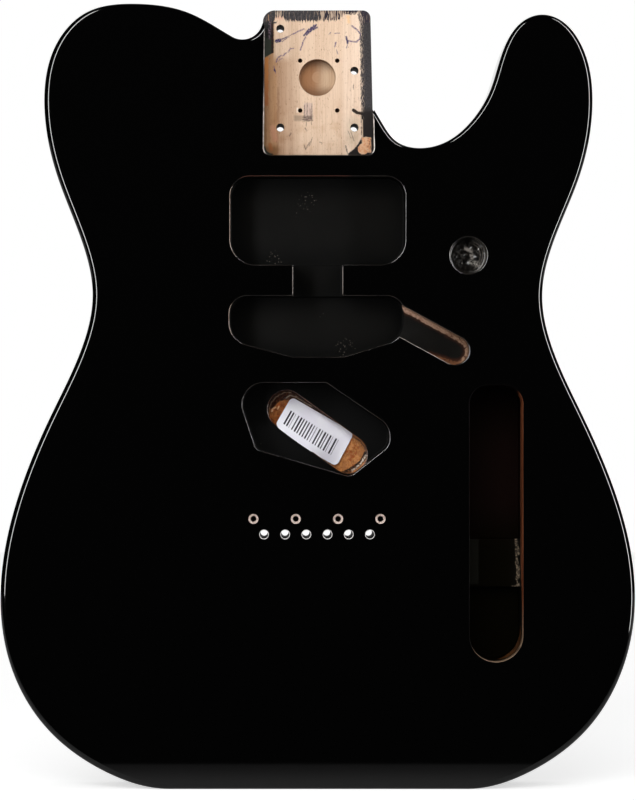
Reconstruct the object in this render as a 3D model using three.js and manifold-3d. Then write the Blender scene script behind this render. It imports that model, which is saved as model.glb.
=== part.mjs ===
// Solid electric guitar body with one cutaway, bare of fittings, standing on its tail.
// The front faces -Y, the neck end points up (+Z) and the treble side is +X.
// Four alder staves are glued edge to edge before the outline and the routs are cut,
// so every rout that crosses a glue line is shared by the staves on both sides of it.
// A paper label lies in the deep slot of the bridge rout. All lengths are in millimetres.

import * as THREE from 'three';
import { mergeVertices } from 'three/addons/utils/BufferGeometryUtils.js';
import Module from 'manifold-3d';

const wasm = await Module();
wasm.setup();

// Whole body
const bodyLength = 401;
const bodyWidth = 324;
const bodyThickness = 44.45;
const edgeRadius = 3;
const overrun = 2;

// Glue lines of the staves: the middle one lies a little to the bass side of the centre line,
// and the outer two at shares of half the body's width
const glueLineOffset = 20;
const bassGlueShare = 0.63;
const trebleGlueShare = 0.383;

// Heel and neck pocket: widths are measured from the centre line to each side
const heelDrop = 2.2;
const heelBassRadius = 6;
const heelTrebleRadius = 4;
const heelLip = 0.9;
const notchRadius = 9.9;
const notchDrop = 6.1;
const lipRelief = 3.2;
const tipRelief = 2;
const pocketLength = 75.4;
const pocketDepth = 15.9;
const pocketBassEnd = 27.7;
const pocketBassMouth = 27.1;
const pocketTrebleEnd = 28.9;
const pocketTrebleMouth = 27.3;
const pocketCornerRadius = 3.8;

// Contour that eases the heel's treble corner at the back
const contourAcross = 24;
const contourDown = 29;
const contourRadius = 20;

// Holes in the pocket's floor
const boltSpacingAcross = 38.1;
const boltSpacingAlong = 50.8;
const boltRowRise = 15.2;
const boltTrebleStep = 29.2;
const boltHoleRadius = 2.1;
const recessRise = 40.9;
const recessRadius = 9.5;
const recessDepth = 5;
const fixtureSpacingAcross = 19.05;
const fixtureSpacingAlong = 25.6;
const fixtureRise = 24;
const fixtureShift = 0.7;
const fixtureHoleRadius = 1.15;
const fixtureHoleDepth = 8;

// Neck rout, the short channel below it and the middle rout
const routDepth = 18;
const neckRoutGap = 10.2;
const neckRoutWidth = 90.2;
const neckRoutLength = 46;
const neckRoutTopRadius = 10.3;
const neckRoutBottomRadius = 13.2;
const linkWidth = 25.4;
const linkLength = 15;
const linkDepth = 15;
const middleRoutBass = 45.2;
const middleRoutTreble = 43.6;
const middleRoutLength = 31.5;
const middleRoutFloorHalf = 13.2;
const middleRoutBassRise = 8.1;
const middleRoutTrebleRise = 9;
const middleRoutTopRadius = 9.5;
const middleRoutEndRadius = 12;
const bendRadius = 2;

// Angled wiring channel from the middle rout to the treble side. Places on that side are shares
// of the treble outer stave's width, from its glue line.
const channelWidth = 15.6;
const channelDepth = 15;
const channelRun = 41.5;
const channelEndDrop = 28.3;
const channelEndShare = 0.084;
const channelSlope = 28.6;

// Bridge rout with its deeper slot, and the paper label in the slot
const bridgeRoutRise = 28.8;
const bridgeRoutHeight = 49;
const bridgeRoutWidth = 81.1;
const bridgeRoutLean = 2.75;
const bridgeRoutDepth = 17;
const slotRun = 39.2;
const slotSlope = 36;
const slotRadius = 9.9;
const slotRise = 52.2;
const slotDepth = 25;
const labelLength = 38.1;
const labelWidth = 18.2;
const labelThickness = 0.3;
const labelCornerRadius = 1.6;
const labelShift = 1.4;
const labelSlope = 34.6;

// Bridge: rows of string holes and screw holes, counted from the tail
const stringRowHeight = 130.1;
const stringPitch = 10.8;
const stringCount = 6;
const stringHoleRadius = 2;
const holeRimRadius = 2.7;
const holeRimDepth = 0.7;
const ferruleRadius = 4.75;
const ferruleDepth = 11;
const screwRowRise = 7.9;
const screwPitch = 21.6;
const screwCount = 4;
const screwHoleRadius = 1.25;
const screwHoleDepth = 20;

// Control rout on the treble side, with a raised block across it, and the jack bore below it
const controlPlaceShare = 0.29;
const controlBottom = 64.8;
const controlLength = 141.8;
const controlWidth = 27.6;
const controlDepth = 38;
const controlTopRadius = 10;
const controlBlockRise = 37.5;
const controlBlockLength = 24.6;
const controlBlockDepth = 27;
const jackRadius = 11.1;
const jackSlope = 30;

// Round blind hole on the treble side, wire tunnels, and pilot holes for the strap buttons
const blindHoleDrop = 128.3;
const blindHoleShare = 0.149;
const blindHoleRadius = 10;
const blindHoleDepth = 10;
const tunnelRadius = 3.6;
const tunnelDepth = 10.5;
const strapHoleRadius = 1.6;
const strapHoleDepth = 24;
const strapShoulderShare = 0.2531;

// Facets
const outlineSteps = 6;
const edgeSteps = 3;
const arcStep = 15;
const holeSides = 12;
const smoothingSweeps = 60;

// Stations of the outline: share of the flank, from the heel's side out to the widest edge,
// then share of the body's length, up from the tail. They run on along the body's edge.
const trebleShares = [
  [0.361, 0],
  [0.608, 0.0247],
  [0.811, 0.0756],
  [0.945, 0.1494],
  [1, 0.241],
  [0.926, 0.3733],
  [0.801, 0.4751],
  [0.688, 0.5564],
  [0.646, 0.6284],
  [0.688, 0.6988],
  [0.784, 0.7803],
  [0.834, 0.8716],
  [0.788, 0.9506],
  [0.703, 0.9808],
  [0.642, 0.985],
  [0.569, 0.9776],
  [0.508, 0.9506],
  [0.473, 0.9202],
  [0.442, 0.8895],
  [0.374, 0.8514],
  [0.2825, 0.8259],
  [0.174, 0.8147],
  [0.091, 0.8234],
  [0.028, 0.8499],
  [0, 0.8668],
];
const bassShares = [
  [0.285, 0.9888],
  [0.485, 1],
  [0.673, 0.9883],
  [0.778, 0.9514],
  [0.833, 0.8703],
  [0.78, 0.7803],
  [0.688, 0.6988],
  [0.646, 0.6297],
  [0.696, 0.5564],
  [0.806, 0.4751],
  [0.932, 0.3733],
  [1, 0.2506],
  [0.951, 0.1494],
  [0.814, 0.0756],
  [0.608, 0.0247],
  [0.358, 0],
];
const tailHeading = 0;
const tipHeading = 118;
const notchHeading = 150;

// Corners of the bridge rout: shares of its width and height from its lower bass corner
const bridgeRoutShares = [
  [0, 1],
  [0.597, 1],
  [1, 0.549],
  [1, 0.329],
  [0.739, 0],
  [0.143, 0.302],
];
const bridgeRoutTopRadius = 11.5;
const bridgeRoutTrebleRadius = 8;
const bridgeRoutLowRadius = 4.8;

// Values that follow from the ones above
const degree = Math.PI / 180;
const halfWidth = bodyWidth / 2;
const front = -bodyThickness / 2;
const back = bodyThickness / 2;
const heelEnd = bodyLength - heelDrop;
const pocketEnd = heelEnd - pocketLength;
const neckRoutTop = pocketEnd - neckRoutGap;
const linkTop = neckRoutTop - neckRoutLength;
const middleRoutTop = linkTop - linkLength;
const middleSeam = -glueLineOffset;
const firstSeam = -bassGlueShare * halfWidth;
const lastSeam = trebleGlueShare * halfWidth;
const controlX = trebleStavePlace(controlPlaceShare);
const channelEndX = trebleStavePlace(channelEndShare);
const channelEnd = new THREE.Vector2(channelEndX, middleRoutTop - channelEndDrop);

function trebleStavePlace(share) {
  return lastSeam + share * (halfWidth - lastSeam);
}

function point(x, z) {
  return new THREE.Vector2(x, z);
}

function headingVector(angle) {
  return new THREE.Vector2(Math.cos(angle * degree), Math.sin(angle * degree));
}

// Cubic curves through all stations of a run. The two end headings are given, and every other
// one settles where the bend on both sides of its station is the same.
function smoothCurves(stations, startHeading, endHeading) {
  const last = stations.length - 1;
  const spans = stations.slice(1).map((station, i) => station.distanceTo(stations[i]));
  const slopes = stations.map((station, i) => {
    const before = stations[Math.max(i - 1, 0)];
    const after = stations[Math.min(i + 1, last)];
    return after.clone().sub(before).normalize();
  });
  slopes[0] = headingVector(startHeading);
  slopes[last] = headingVector(endHeading);
  for (let sweep = 0; sweep < smoothingSweeps; sweep += 1) {
    for (let i = 1; i < last; i += 1) {
      const before = 1 / spans[i - 1];
      const after = 1 / spans[i];
      const rise = stations[i].clone().sub(stations[i - 1]).multiplyScalar(3 * before * before);
      rise.add(stations[i + 1].clone().sub(stations[i]).multiplyScalar(3 * after * after));
      rise.sub(slopes[i - 1].clone().multiplyScalar(before));
      rise.sub(slopes[i + 1].clone().multiplyScalar(after));
      slopes[i] = rise.divideScalar(2 * (before + after));
    }
  }
  return spans.map((span, i) => {
    const leave = stations[i].clone().addScaledVector(slopes[i], span / 3);
    const arrive = stations[i + 1].clone().addScaledVector(slopes[i + 1], -span / 3);
    return new THREE.CubicBezierCurve(stations[i], leave, arrive, stations[i + 1]);
  });
}

function curvePoints(curves) {
  return curves.flatMap((curve) => curve.getPoints(outlineSteps).slice(1));
}

// Points of an arc, both ends included, with one step for every few degrees
function arcPoints(centre, radius, startAngle, endAngle) {
  const steps = Math.max(2, Math.ceil(Math.abs(endAngle - startAngle) / arcStep));
  const points = [];
  for (let i = 0; i <= steps; i += 1) {
    const angle = startAngle + ((endAngle - startAngle) * i) / steps;
    points.push(centre.clone().addScaledVector(headingVector(angle), radius));
  }
  return points;
}

// A polygon whose corners are rounded, each by its own radius, limited by its two sides
function roundedPolygon(corners, radii) {
  return corners.flatMap((corner, i) => {
    if (radii[i] === 0) return [corner];
    const before = corners[(i + corners.length - 1) % corners.length].clone().sub(corner);
    const after = corners[(i + 1) % corners.length].clone().sub(corner);
    const half = Math.acos(before.dot(after) / (before.length() * after.length())) / 2;
    const reach = Math.min(radii[i] / Math.tan(half), before.length() / 2, after.length() / 2);
    const radius = reach * Math.tan(half);
    before.normalize();
    after.normalize();
    const middle = before.clone().add(after).normalize();
    const centre = corner.clone().addScaledVector(middle, radius / Math.sin(half));
    const start = corner.clone().addScaledVector(before, reach).sub(centre);
    const end = corner.clone().addScaledVector(after, reach).sub(centre);
    const startAngle = start.angle() / degree;
    const turn = Math.atan2(start.cross(end), start.dot(end)) / degree;
    return arcPoints(centre, radius, startAngle, startAngle + turn);
  });
}

// A slot with round ends, from one end's centre to the other's
function obround(from, to, radius) {
  const angle = to.clone().sub(from).angle() / degree;
  return [
    ...arcPoints(to, radius, angle - 90, angle + 90),
    ...arcPoints(from, radius, angle + 90, angle + 270),
  ];
}

function solid(geometry) {
  geometry.deleteAttribute('normal');
  geometry.deleteAttribute('uv');
  const merged = mergeVertices(geometry);
  const vertProperties = new Float32Array(merged.attributes.position.array);
  const triVerts = new Uint32Array(merged.index.array);
  return new wasm.Manifold(new wasm.Mesh({ numProp: 3, vertProperties, triVerts }));
}

// An upright outline carried along Y, from its front to its back
function prism(points, frontY, backY, options = {}) {
  const depth = backY - frontY;
  const settings = { depth, bevelEnabled: false, ...options };
  const geometry = new THREE.ExtrudeGeometry(new THREE.Shape(points), settings);
  geometry.rotateX(90 * degree);
  geometry.translate(0, backY, 0);
  return solid(geometry);
}

// A rout cut from the front face down to its depth
function rout(points, depth) {
  return prism(points, front - overrun, front + depth);
}

// A round hole between two points, with a larger far end where it is flared
function bore(from, to, radius, farRadius = radius, sides = holeSides) {
  const run = to.clone().sub(from);
  const geometry = new THREE.CylinderGeometry(farRadius, radius, run.length(), sides);
  const along = new THREE.Vector3(0, 1, 0);
  geometry.applyQuaternion(new THREE.Quaternion().setFromUnitVectors(along, run.normalize()));
  const middle = from.clone().add(to).multiplyScalar(1 / 2);
  geometry.translate(middle.x, middle.y, middle.z);
  return solid(geometry);
}

function frontHole(x, z, radius, depth, sides = holeSides) {
  const inside = new THREE.Vector3(x, front + depth, z);
  const outside = new THREE.Vector3(x, front - overrun, z);
  return bore(inside, outside, radius, radius, sides);
}

function pocketHole(x, z, radius, depth, sides = holeSides) {
  return frontHole(x, z, radius, pocketDepth + depth, sides);
}

// The rim of a hole in the front face, eased by a small cone
function holeRim(x, z, radius) {
  const inside = new THREE.Vector3(x, front + holeRimDepth, z);
  const outside = new THREE.Vector3(x, front - holeRimDepth, z);
  return bore(inside, outside, radius, 2 * holeRimRadius - radius);
}

// Side lines of the neck pocket: distance from the centre line at a given height
function pocketSide(end, mouth, z) {
  return end + ((mouth - end) * (z - pocketEnd)) / pocketLength;
}

function flankPoint(shares, side, heelSide) {
  const [across, up] = shares;
  return point(side * (heelSide + across * (halfWidth - heelSide)), up * bodyLength);
}

const tipHeight = trebleShares[trebleShares.length - 1][1] * bodyLength;
const heelTreble = pocketSide(pocketTrebleEnd, pocketTrebleMouth, tipHeight);
const heelBass = pocketBassMouth + heelLip;
const notchCentre = point(-heelBass - notchRadius, heelEnd - notchDrop);

// The body's edge seen from the front: up the treble side, over the horn and down the cutaway,
// round the heel and the notch beside it, over the bass shoulder and down to the tail
function bodyOutline() {
  const treble = trebleShares.map((shares) => flankPoint(shares, 1, heelTreble));
  const heelRight = point(pocketTrebleMouth - heelTrebleRadius, heelEnd - heelTrebleRadius);
  const heelLeft = point(heelBassRadius - heelBass, heelEnd - heelBassRadius);
  const notch = arcPoints(notchCentre, notchRadius, 0, notchHeading - 270);
  const bass = bassShares.map((shares) => flankPoint(shares, -1, heelBass));
  const notchEnd = notch[notch.length - 1];
  return [
    treble[0],
    ...curvePoints(smoothCurves(treble, tailHeading, tipHeading)),
    ...arcPoints(heelRight, heelTrebleRadius, 0, 90),
    ...arcPoints(heelLeft, heelBassRadius, 90, 180),
    ...notch,
    ...curvePoints(smoothCurves([notchEnd, ...bass], notchHeading, tailHeading)),
  ];
}

// The slab with both edges rounded over all the way round
function slab() {
  return prism(bodyOutline(), front + edgeRadius, back - edgeRadius, {
    bevelEnabled: true,
    bevelSize: edgeRadius,
    bevelThickness: edgeRadius,
    bevelOffset: -edgeRadius,
    bevelSegments: edgeSteps,
  });
}

// The neck pocket runs out through the heel's end. Above the notch on the bass side and above
// the cutaway's tip on the treble side it has no wall, so its cut widens past the body there.
function neckPocket() {
  const lipTop = notchCentre.y - lipRelief;
  const lipX = pocketSide(pocketBassEnd, pocketBassMouth, lipTop);
  const tipTop = tipHeight - tipRelief;
  const tipX = pocketSide(pocketTrebleEnd, pocketTrebleMouth, tipTop);
  const flare = heelLip + overrun;
  const mouth = heelEnd + overrun;
  const corners = [
    point(-pocketBassEnd, pocketEnd),
    point(pocketTrebleEnd, pocketEnd),
    point(tipX, tipTop),
    point(tipX + flare, tipTop + flare),
    point(tipX + flare, mouth),
    point(-lipX - flare, mouth),
    point(-lipX - flare, lipTop + flare),
    point(-lipX, lipTop),
  ];
  const radii = [pocketCornerRadius, pocketCornerRadius, 0, 0, 0, 0, 0, 0];
  return rout(roundedPolygon(corners, radii), pocketDepth);
}

// Four bolt holes run through the heel. The upper treble one sits lower, clear of the contour.
function boltHoles() {
  const across = boltSpacingAcross / 2;
  const row = pocketEnd + boltRowRise;
  const places = [
    [-across, row],
    [across, row],
    [-across, row + boltSpacingAlong],
    [across, row + boltTrebleStep],
  ];
  return places.map(([x, z]) => frontHole(x, z, boltHoleRadius, bodyThickness + overrun));
}

// The round recess in the pocket's floor and the four small holes that held a fixture
function pocketFloorHoles() {
  const across = fixtureSpacingAcross / 2;
  const row = pocketEnd + fixtureRise;
  const holes = [pocketHole(0, pocketEnd + recessRise, recessRadius, recessDepth, 2 * holeSides)];
  for (const z of [row, row + fixtureSpacingAlong]) {
    for (const x of [fixtureShift - across, fixtureShift + across]) {
      holes.push(pocketHole(x, z, fixtureHoleRadius, fixtureHoleDepth));
    }
  }
  return holes;
}

// A large round over the heel's treble corner at the back, along a slanting line
function heelContour() {
  const across = point(pocketTrebleMouth - contourAcross, heelEnd);
  const down = point(pocketTrebleMouth, heelEnd - contourDown);
  const along = across.clone().sub(down);
  const run = along.length() + 2 * contourRadius;
  const start = down.clone().addScaledVector(along.normalize(), -contourRadius);
  const outward = new THREE.Vector3(along.y, 0, -along.x);
  const profile = arcPoints(point(0, -contourRadius), contourRadius, 90, 0);
  profile.push(point(contourRadius + overrun, -contourRadius));
  profile.push(point(contourRadius + overrun, overrun), point(0, overrun));
  const settings = { depth: run, bevelEnabled: false };
  const geometry = new THREE.ExtrudeGeometry(new THREE.Shape(profile), settings);
  const up = new THREE.Vector3(0, 1, 0);
  const placed = new THREE.Matrix4().makeBasis(outward, up, outward.clone().cross(up));
  placed.setPosition(start.x, back, start.y);
  geometry.applyMatrix4(placed);
  return solid(geometry);
}

// The neck rout, the channel that links it to the middle rout, and the middle rout
function pickupRouts() {
  const neckHalf = neckRoutWidth / 2;
  const neckCorners = [
    point(-neckHalf, linkTop),
    point(neckHalf, linkTop),
    point(neckHalf, neckRoutTop),
    point(-neckHalf, neckRoutTop),
  ];
  const neckRadii = [neckRoutBottomRadius, neckRoutBottomRadius];
  neckRadii.push(neckRoutTopRadius, neckRoutTopRadius);
  const linkHalf = linkWidth / 2;
  const linkCorners = [
    point(-linkHalf, middleRoutTop - overrun),
    point(linkHalf, middleRoutTop - overrun),
    point(linkHalf, linkTop + overrun),
    point(-linkHalf, linkTop + overrun),
  ];
  const low = middleRoutTop - middleRoutLength;
  const middleCorners = [
    point(-middleRoutFloorHalf, low),
    point(middleRoutFloorHalf, low),
    point(middleRoutTreble, low + middleRoutTrebleRise),
    point(middleRoutTreble, middleRoutTop),
    point(-middleRoutBass, middleRoutTop),
    point(-middleRoutBass, low + middleRoutBassRise),
  ];
  const middleRadii = [bendRadius, bendRadius, middleRoutEndRadius, middleRoutTopRadius];
  middleRadii.push(middleRoutTopRadius, middleRoutEndRadius);
  return [
    rout(roundedPolygon(neckCorners, neckRadii), routDepth),
    rout(linkCorners, linkDepth),
    rout(roundedPolygon(middleCorners, middleRadii), routDepth),
  ];
}

// The wiring channel slants down from the middle rout to the treble side
function wiringChannel() {
  const start = channelEnd.clone().addScaledVector(headingVector(180 - channelSlope), channelRun);
  return rout(obround(start, channelEnd, channelWidth / 2), channelDepth);
}

const bridgeRoutLow = stringRowHeight + bridgeRoutRise;
const slotCentre = point(0, stringRowHeight + slotRise);

function bridgeRoutCorner([across, up]) {
  const x = (across - 1 / 2) * bridgeRoutWidth - bridgeRoutLean;
  return point(x, bridgeRoutLow + up * bridgeRoutHeight);
}

// The bridge rout is a slanted six-sided room, with a deeper slot along its floor
function bridgeRouts() {
  const radii = [bridgeRoutTopRadius, bendRadius, bridgeRoutTopRadius];
  radii.push(bridgeRoutTrebleRadius, bridgeRoutLowRadius, bridgeRoutLowRadius);
  const half = headingVector(-slotSlope).multiplyScalar(slotRun / 2);
  const slot = obround(slotCentre.clone().sub(half), slotCentre.clone().add(half), slotRadius);
  return [
    rout(roundedPolygon(bridgeRoutShares.map(bridgeRoutCorner), radii), bridgeRoutDepth),
    rout(slot, slotDepth),
  ];
}

// String holes with a flared rim at the front and a wider seat for each ferrule at the back
function stringHoles() {
  const first = (-stringPitch * (stringCount - 1)) / 2;
  return Array.from({ length: stringCount }, (_, i) => first + i * stringPitch).flatMap((x) => {
    const seat = new THREE.Vector3(x, back - ferruleDepth, stringRowHeight);
    const outside = new THREE.Vector3(x, back + overrun, stringRowHeight);
    return [
      frontHole(x, stringRowHeight, stringHoleRadius, bodyThickness - ferruleDepth + overrun),
      holeRim(x, stringRowHeight, stringHoleRadius),
      bore(seat, outside, ferruleRadius),
    ];
  });
}

function bridgeScrewHoles() {
  const first = (-screwPitch * (screwCount - 1)) / 2;
  const z = stringRowHeight + screwRowRise;
  return Array.from({ length: screwCount }, (_, i) => first + i * screwPitch).flatMap((x) => [
    frontHole(x, z, screwHoleRadius, screwHoleDepth),
    holeRim(x, z, screwHoleRadius),
  ]);
}

// The long control rout, round at its lower end, with a shallower block left across it
function controlRout() {
  const half = controlWidth / 2;
  const corners = [
    point(controlX - half, controlBottom),
    point(controlX + half, controlBottom),
    point(controlX + half, controlBottom + controlLength),
    point(controlX - half, controlBottom + controlLength),
  ];
  const radii = [half, half, controlTopRadius, controlTopRadius];
  const blockLow = controlBottom + controlBlockRise;
  const block = [
    point(controlX - half - overrun, blockLow),
    point(controlX + half + overrun, blockLow),
    point(controlX + half + overrun, blockLow + controlBlockLength),
    point(controlX - half - overrun, blockLow + controlBlockLength),
  ];
  const blockFront = front + controlBlockDepth;
  const whole = rout(roundedPolygon(corners, radii), controlDepth);
  return whole.subtract(prism(block, blockFront, front + controlDepth + overrun));
}

// The jack enters from the treble side, square to the edge, and meets the control rout's lower end
function jackBore() {
  const inner = new THREE.Vector3(controlX, 0, controlBottom + controlWidth / 2);
  const heading = headingVector(-jackSlope);
  const outer = inner.clone().addScaledVector(new THREE.Vector3(heading.x, 0, heading.y), halfWidth);
  return bore(inner, outer, jackRadius, jackRadius, 2 * holeSides);
}

// Wires pass from the channel's end and from the bridge rout to the control rout
function wireTunnels() {
  const y = front + tunnelDepth;
  const top = controlBottom + controlLength - controlTopRadius;
  const upper = new THREE.Vector3(channelEnd.x, y, channelEnd.y);
  const treble = bridgeRoutCorner(bridgeRoutShares[2]);
  const lower = new THREE.Vector3(treble.x / 2, y, treble.y);
  return [
    bore(upper, new THREE.Vector3(controlX, y, top), tunnelRadius),
    bore(lower, new THREE.Vector3(controlX, y, treble.y), tunnelRadius),
  ];
}

function strapHoles() {
  const x = -strapShoulderShare * bodyWidth;
  const top = new THREE.Vector3(x, 0, bodyLength + overrun);
  const tail = new THREE.Vector3(0, 0, -overrun);
  return [
    bore(new THREE.Vector3(x, 0, bodyLength - strapHoleDepth), top, strapHoleRadius),
    bore(new THREE.Vector3(0, 0, strapHoleDepth), tail, strapHoleRadius),
  ];
}

function blindHole() {
  const x = trebleStavePlace(blindHoleShare);
  return frontHole(x, bodyLength - blindHoleDrop, blindHoleRadius, blindHoleDepth, 2 * holeSides);
}

function routedBody() {
  const cuts = [
    neckPocket(),
    ...boltHoles(),
    ...pocketFloorHoles(),
    heelContour(),
    ...pickupRouts(),
    wiringChannel(),
    ...bridgeRouts(),
    ...stringHoles(),
    ...bridgeScrewHoles(),
    controlRout(),
    jackBore(),
    ...wireTunnels(),
    ...strapHoles(),
    blindHole(),
  ];
  return cuts.reduce((body, cut) => body.subtract(cut), slab());
}

// A board of the glued blank: everything between two upright glue planes
function board(from, to) {
  const low = -overrun;
  const high = bodyLength + overrun;
  const outline = [point(from, low), point(to, low), point(to, high), point(from, high)];
  return prism(outline, front - overrun, back + overrun);
}

function mesh(name, shape, material) {
  const { vertProperties, triVerts } = shape.getMesh();
  const geometry = new THREE.BufferGeometry();
  geometry.setAttribute('position', new THREE.BufferAttribute(vertProperties, 3));
  geometry.setIndex(new THREE.BufferAttribute(triVerts, 1));
  geometry.computeVertexNormals();
  const result = new THREE.Mesh(geometry, material);
  result.name = name;
  return result;
}

// Black lacquer covers every stave; the alder shows only inside the routs
function lacqueredAlder() {
  return new THREE.MeshStandardMaterial({ color: 0x060606, roughness: 0.1, metalness: 0 });
}

function labelPaper() {
  return new THREE.MeshStandardMaterial({ color: 0xe9ebf0, roughness: 0.6, metalness: 0 });
}

// The label lies flat on the slot's floor, nearly in line with the slot
function paperLabel() {
  const along = headingVector(-labelSlope);
  const across = headingVector(90 - labelSlope);
  const centre = slotCentre.clone().addScaledVector(headingVector(-slotSlope), -labelShift);
  const corners = [[-1, -1], [1, -1], [1, 1], [-1, 1]].map(([u, v]) =>
    centre.clone()
      .addScaledVector(along, (u * labelLength) / 2)
      .addScaledVector(across, (v * labelWidth) / 2));
  const floor = front + slotDepth;
  const outline = roundedPolygon(corners, corners.map(() => labelCornerRadius));
  return prism(outline, floor - labelThickness, floor);
}

const guitarBody = new THREE.Group();
const body = routedBody();
const staves = [
  ['bass_outer_stave', -halfWidth - overrun, firstSeam],
  ['bass_centre_stave', firstSeam, middleSeam],
  ['treble_centre_stave', middleSeam, lastSeam],
  ['treble_outer_stave', lastSeam, halfWidth + overrun],
];
for (const [name, from, to] of staves) {
  guitarBody.add(mesh(name, body.intersect(board(from, to)), lacqueredAlder()));
}
guitarBody.add(mesh('paper_label', paperLabel(), labelPaper()));

export default guitarBody;
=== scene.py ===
# %% [markdown]
# # A solid guitar body, bare of its fittings
#
# The real thing is a slab of alder, glued up from four boards, cut to shape, routed and then
# sprayed black. This script dresses the imported model of it: every board gets a finer mesh
# with eased edges, and every surface gets the finish that it has on the real body, with
# shade and highlights painted into some finishes in the routs, holes and slot.
# The imported model comes in first, as a frame that is never moved.

import bpy
import numpy as np
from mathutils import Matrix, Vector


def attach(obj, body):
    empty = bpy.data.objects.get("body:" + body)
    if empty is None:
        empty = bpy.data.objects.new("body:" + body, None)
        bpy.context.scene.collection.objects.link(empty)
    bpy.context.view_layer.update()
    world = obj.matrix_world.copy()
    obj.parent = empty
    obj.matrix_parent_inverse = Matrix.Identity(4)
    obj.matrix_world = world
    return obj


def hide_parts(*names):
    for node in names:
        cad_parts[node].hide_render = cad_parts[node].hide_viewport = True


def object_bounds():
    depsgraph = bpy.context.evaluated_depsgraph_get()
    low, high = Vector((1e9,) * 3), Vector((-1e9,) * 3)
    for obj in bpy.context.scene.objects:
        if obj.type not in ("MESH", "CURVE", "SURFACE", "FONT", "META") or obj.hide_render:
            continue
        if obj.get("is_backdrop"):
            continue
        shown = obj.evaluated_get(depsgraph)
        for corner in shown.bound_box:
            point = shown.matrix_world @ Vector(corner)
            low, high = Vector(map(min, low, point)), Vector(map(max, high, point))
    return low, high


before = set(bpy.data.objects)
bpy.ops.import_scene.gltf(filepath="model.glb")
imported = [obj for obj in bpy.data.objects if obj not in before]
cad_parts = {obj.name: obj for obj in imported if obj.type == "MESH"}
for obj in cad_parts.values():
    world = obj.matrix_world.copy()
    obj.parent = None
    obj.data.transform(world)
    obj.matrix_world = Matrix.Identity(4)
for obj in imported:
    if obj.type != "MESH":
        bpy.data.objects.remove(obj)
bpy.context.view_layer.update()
print("The frame holds", sorted(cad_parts))

# %% [markdown]
# ## Camera
#
# The photograph looks square on to the front, from about two metres away, with its optical
# axis a little to the left of the middle and at half height. A long lens and a small shift
# give the same view. Turning the camera instead would make upright edges lean.
# Lengths below are millimetres, and points on the front are often named by the photograph's
# pixels, so two small functions turn one into the other.

# %% Sizes of the photograph and of its view
MM = 0.001
FRONT = -22.225
BACK = 22.225
PHOTO_WIDTH, PHOTO_HEIGHT = 636, 800
MM_PER_PIXEL = 0.51
PIXEL_OF_CENTRE_LINE = 317.75
PIXEL_OF_TAIL = 789.5
CAMERA = np.array([-25.0, -2100.0, 204.0])
SENSOR = 36.0


def pixel_point(across, down, depth=0.0):
    """X and Z of a pixel on an upright plane that lies depth millimetres behind the front face:
    the pixel's place on the front, moved away from the camera's foot in step with distance."""
    x = (across - PIXEL_OF_CENTRE_LINE) * MM_PER_PIXEL
    z = (PIXEL_OF_TAIL - down) * MM_PER_PIXEL
    spread = 1 + depth / (FRONT - CAMERA[1])
    return np.array([CAMERA[0] + (x - CAMERA[0]) * spread, CAMERA[2] + (z - CAMERA[2]) * spread])


# %% Make the camera
def placed(name, data):
    """A new object that holds this data, linked into the scene."""
    made = bpy.data.objects.new(name, data)
    bpy.context.scene.collection.objects.link(made)
    return made


view_height = PHOTO_HEIGHT * MM_PER_PIXEL
view_centre = pixel_point(PHOTO_WIDTH / 2, PHOTO_HEIGHT / 2)
camera_data = bpy.data.cameras.new("camera")
camera = placed("camera", camera_data)
bpy.context.scene.camera = camera
camera.location = CAMERA * MM
camera.rotation_euler = (np.pi / 2, 0, 0)
camera_data.sensor_fit = "VERTICAL"
camera_data.sensor_height = SENSOR
camera_data.lens = SENSOR * (FRONT - CAMERA[1]) / view_height
camera_data.shift_x = (view_centre[0] - CAMERA[0]) / view_height
camera_data.shift_y = (view_centre[1] - CAMERA[2]) / view_height
camera_data.clip_end = 20
print("Lens", round(camera_data.lens, 1), "mm, shift", camera_data.shift_x, camera_data.shift_y)

# %% [markdown]
# ## The outline
#
# The body's edge is one smooth line that was drawn by hand once and is followed by a router
# ever since. It is kept as a few stations, each a share of the flank's width and of the
# body's length. A cubic curve through them, whose bend never jumps, gives the gloss an
# unbroken highlight. Polygons with a bevel would show every facet in black lacquer.

# %% Sizes of the body and stations of its outline
BODY_LENGTH, BODY_WIDTH = 401.0, 324.0
EDGE_RADIUS = 3.0
OVERRUN = 2.0
HEEL_END = BODY_LENGTH - 2.2
HEEL_BASS_RADIUS, HEEL_TREBLE_RADIUS = 6.0, 4.0
POCKET_LENGTH = 75.4
POCKET_END = HEEL_END - POCKET_LENGTH
POCKET_BASS = (27.7, 27.1)
POCKET_TREBLE = (28.9, 27.3)
HEEL_LIP = 0.9
NOTCH_RADIUS, NOTCH_DROP = 10.5, 5.5
TREBLE_SHARES = [
    (0.361, 0), (0.61, 0.0237), (0.814, 0.0748), (0.949, 0.149), (1, 0.234),
    (0.929, 0.3736), (0.801, 0.4751), (0.69, 0.5566), (0.646, 0.6284), (0.691, 0.6985),
    (0.788, 0.7799), (0.838, 0.8716), (0.79, 0.9509), (0.704, 0.9814), (0.642, 0.9862),
    (0.57, 0.9773), (0.509, 0.9504), (0.476, 0.9198), (0.446, 0.8889), (0.376, 0.8509),
    (0.2837, 0.8251), (0.174, 0.8163), (0.092, 0.8239), (0.03, 0.8503), (0, 0.8674),
]
BASS_SHARES = [
    (0.285, 0.9888), (0.485, 1), (0.674, 0.9887), (0.782, 0.9519), (0.833, 0.8703),
    (0.783, 0.78), (0.691, 0.6985), (0.649, 0.6297), (0.696, 0.5564), (0.808, 0.4754),
    (0.932, 0.3733), (1, 0.2506), (0.953, 0.1491), (0.817, 0.0747), (0.61, 0.0235),
    (0.358, 0),
]
TAIL_HEADING, TIP_HEADING, NOTCH_HEADING = 0.0, 118.0, 150.0
CURVE_STEPS = 16
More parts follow.
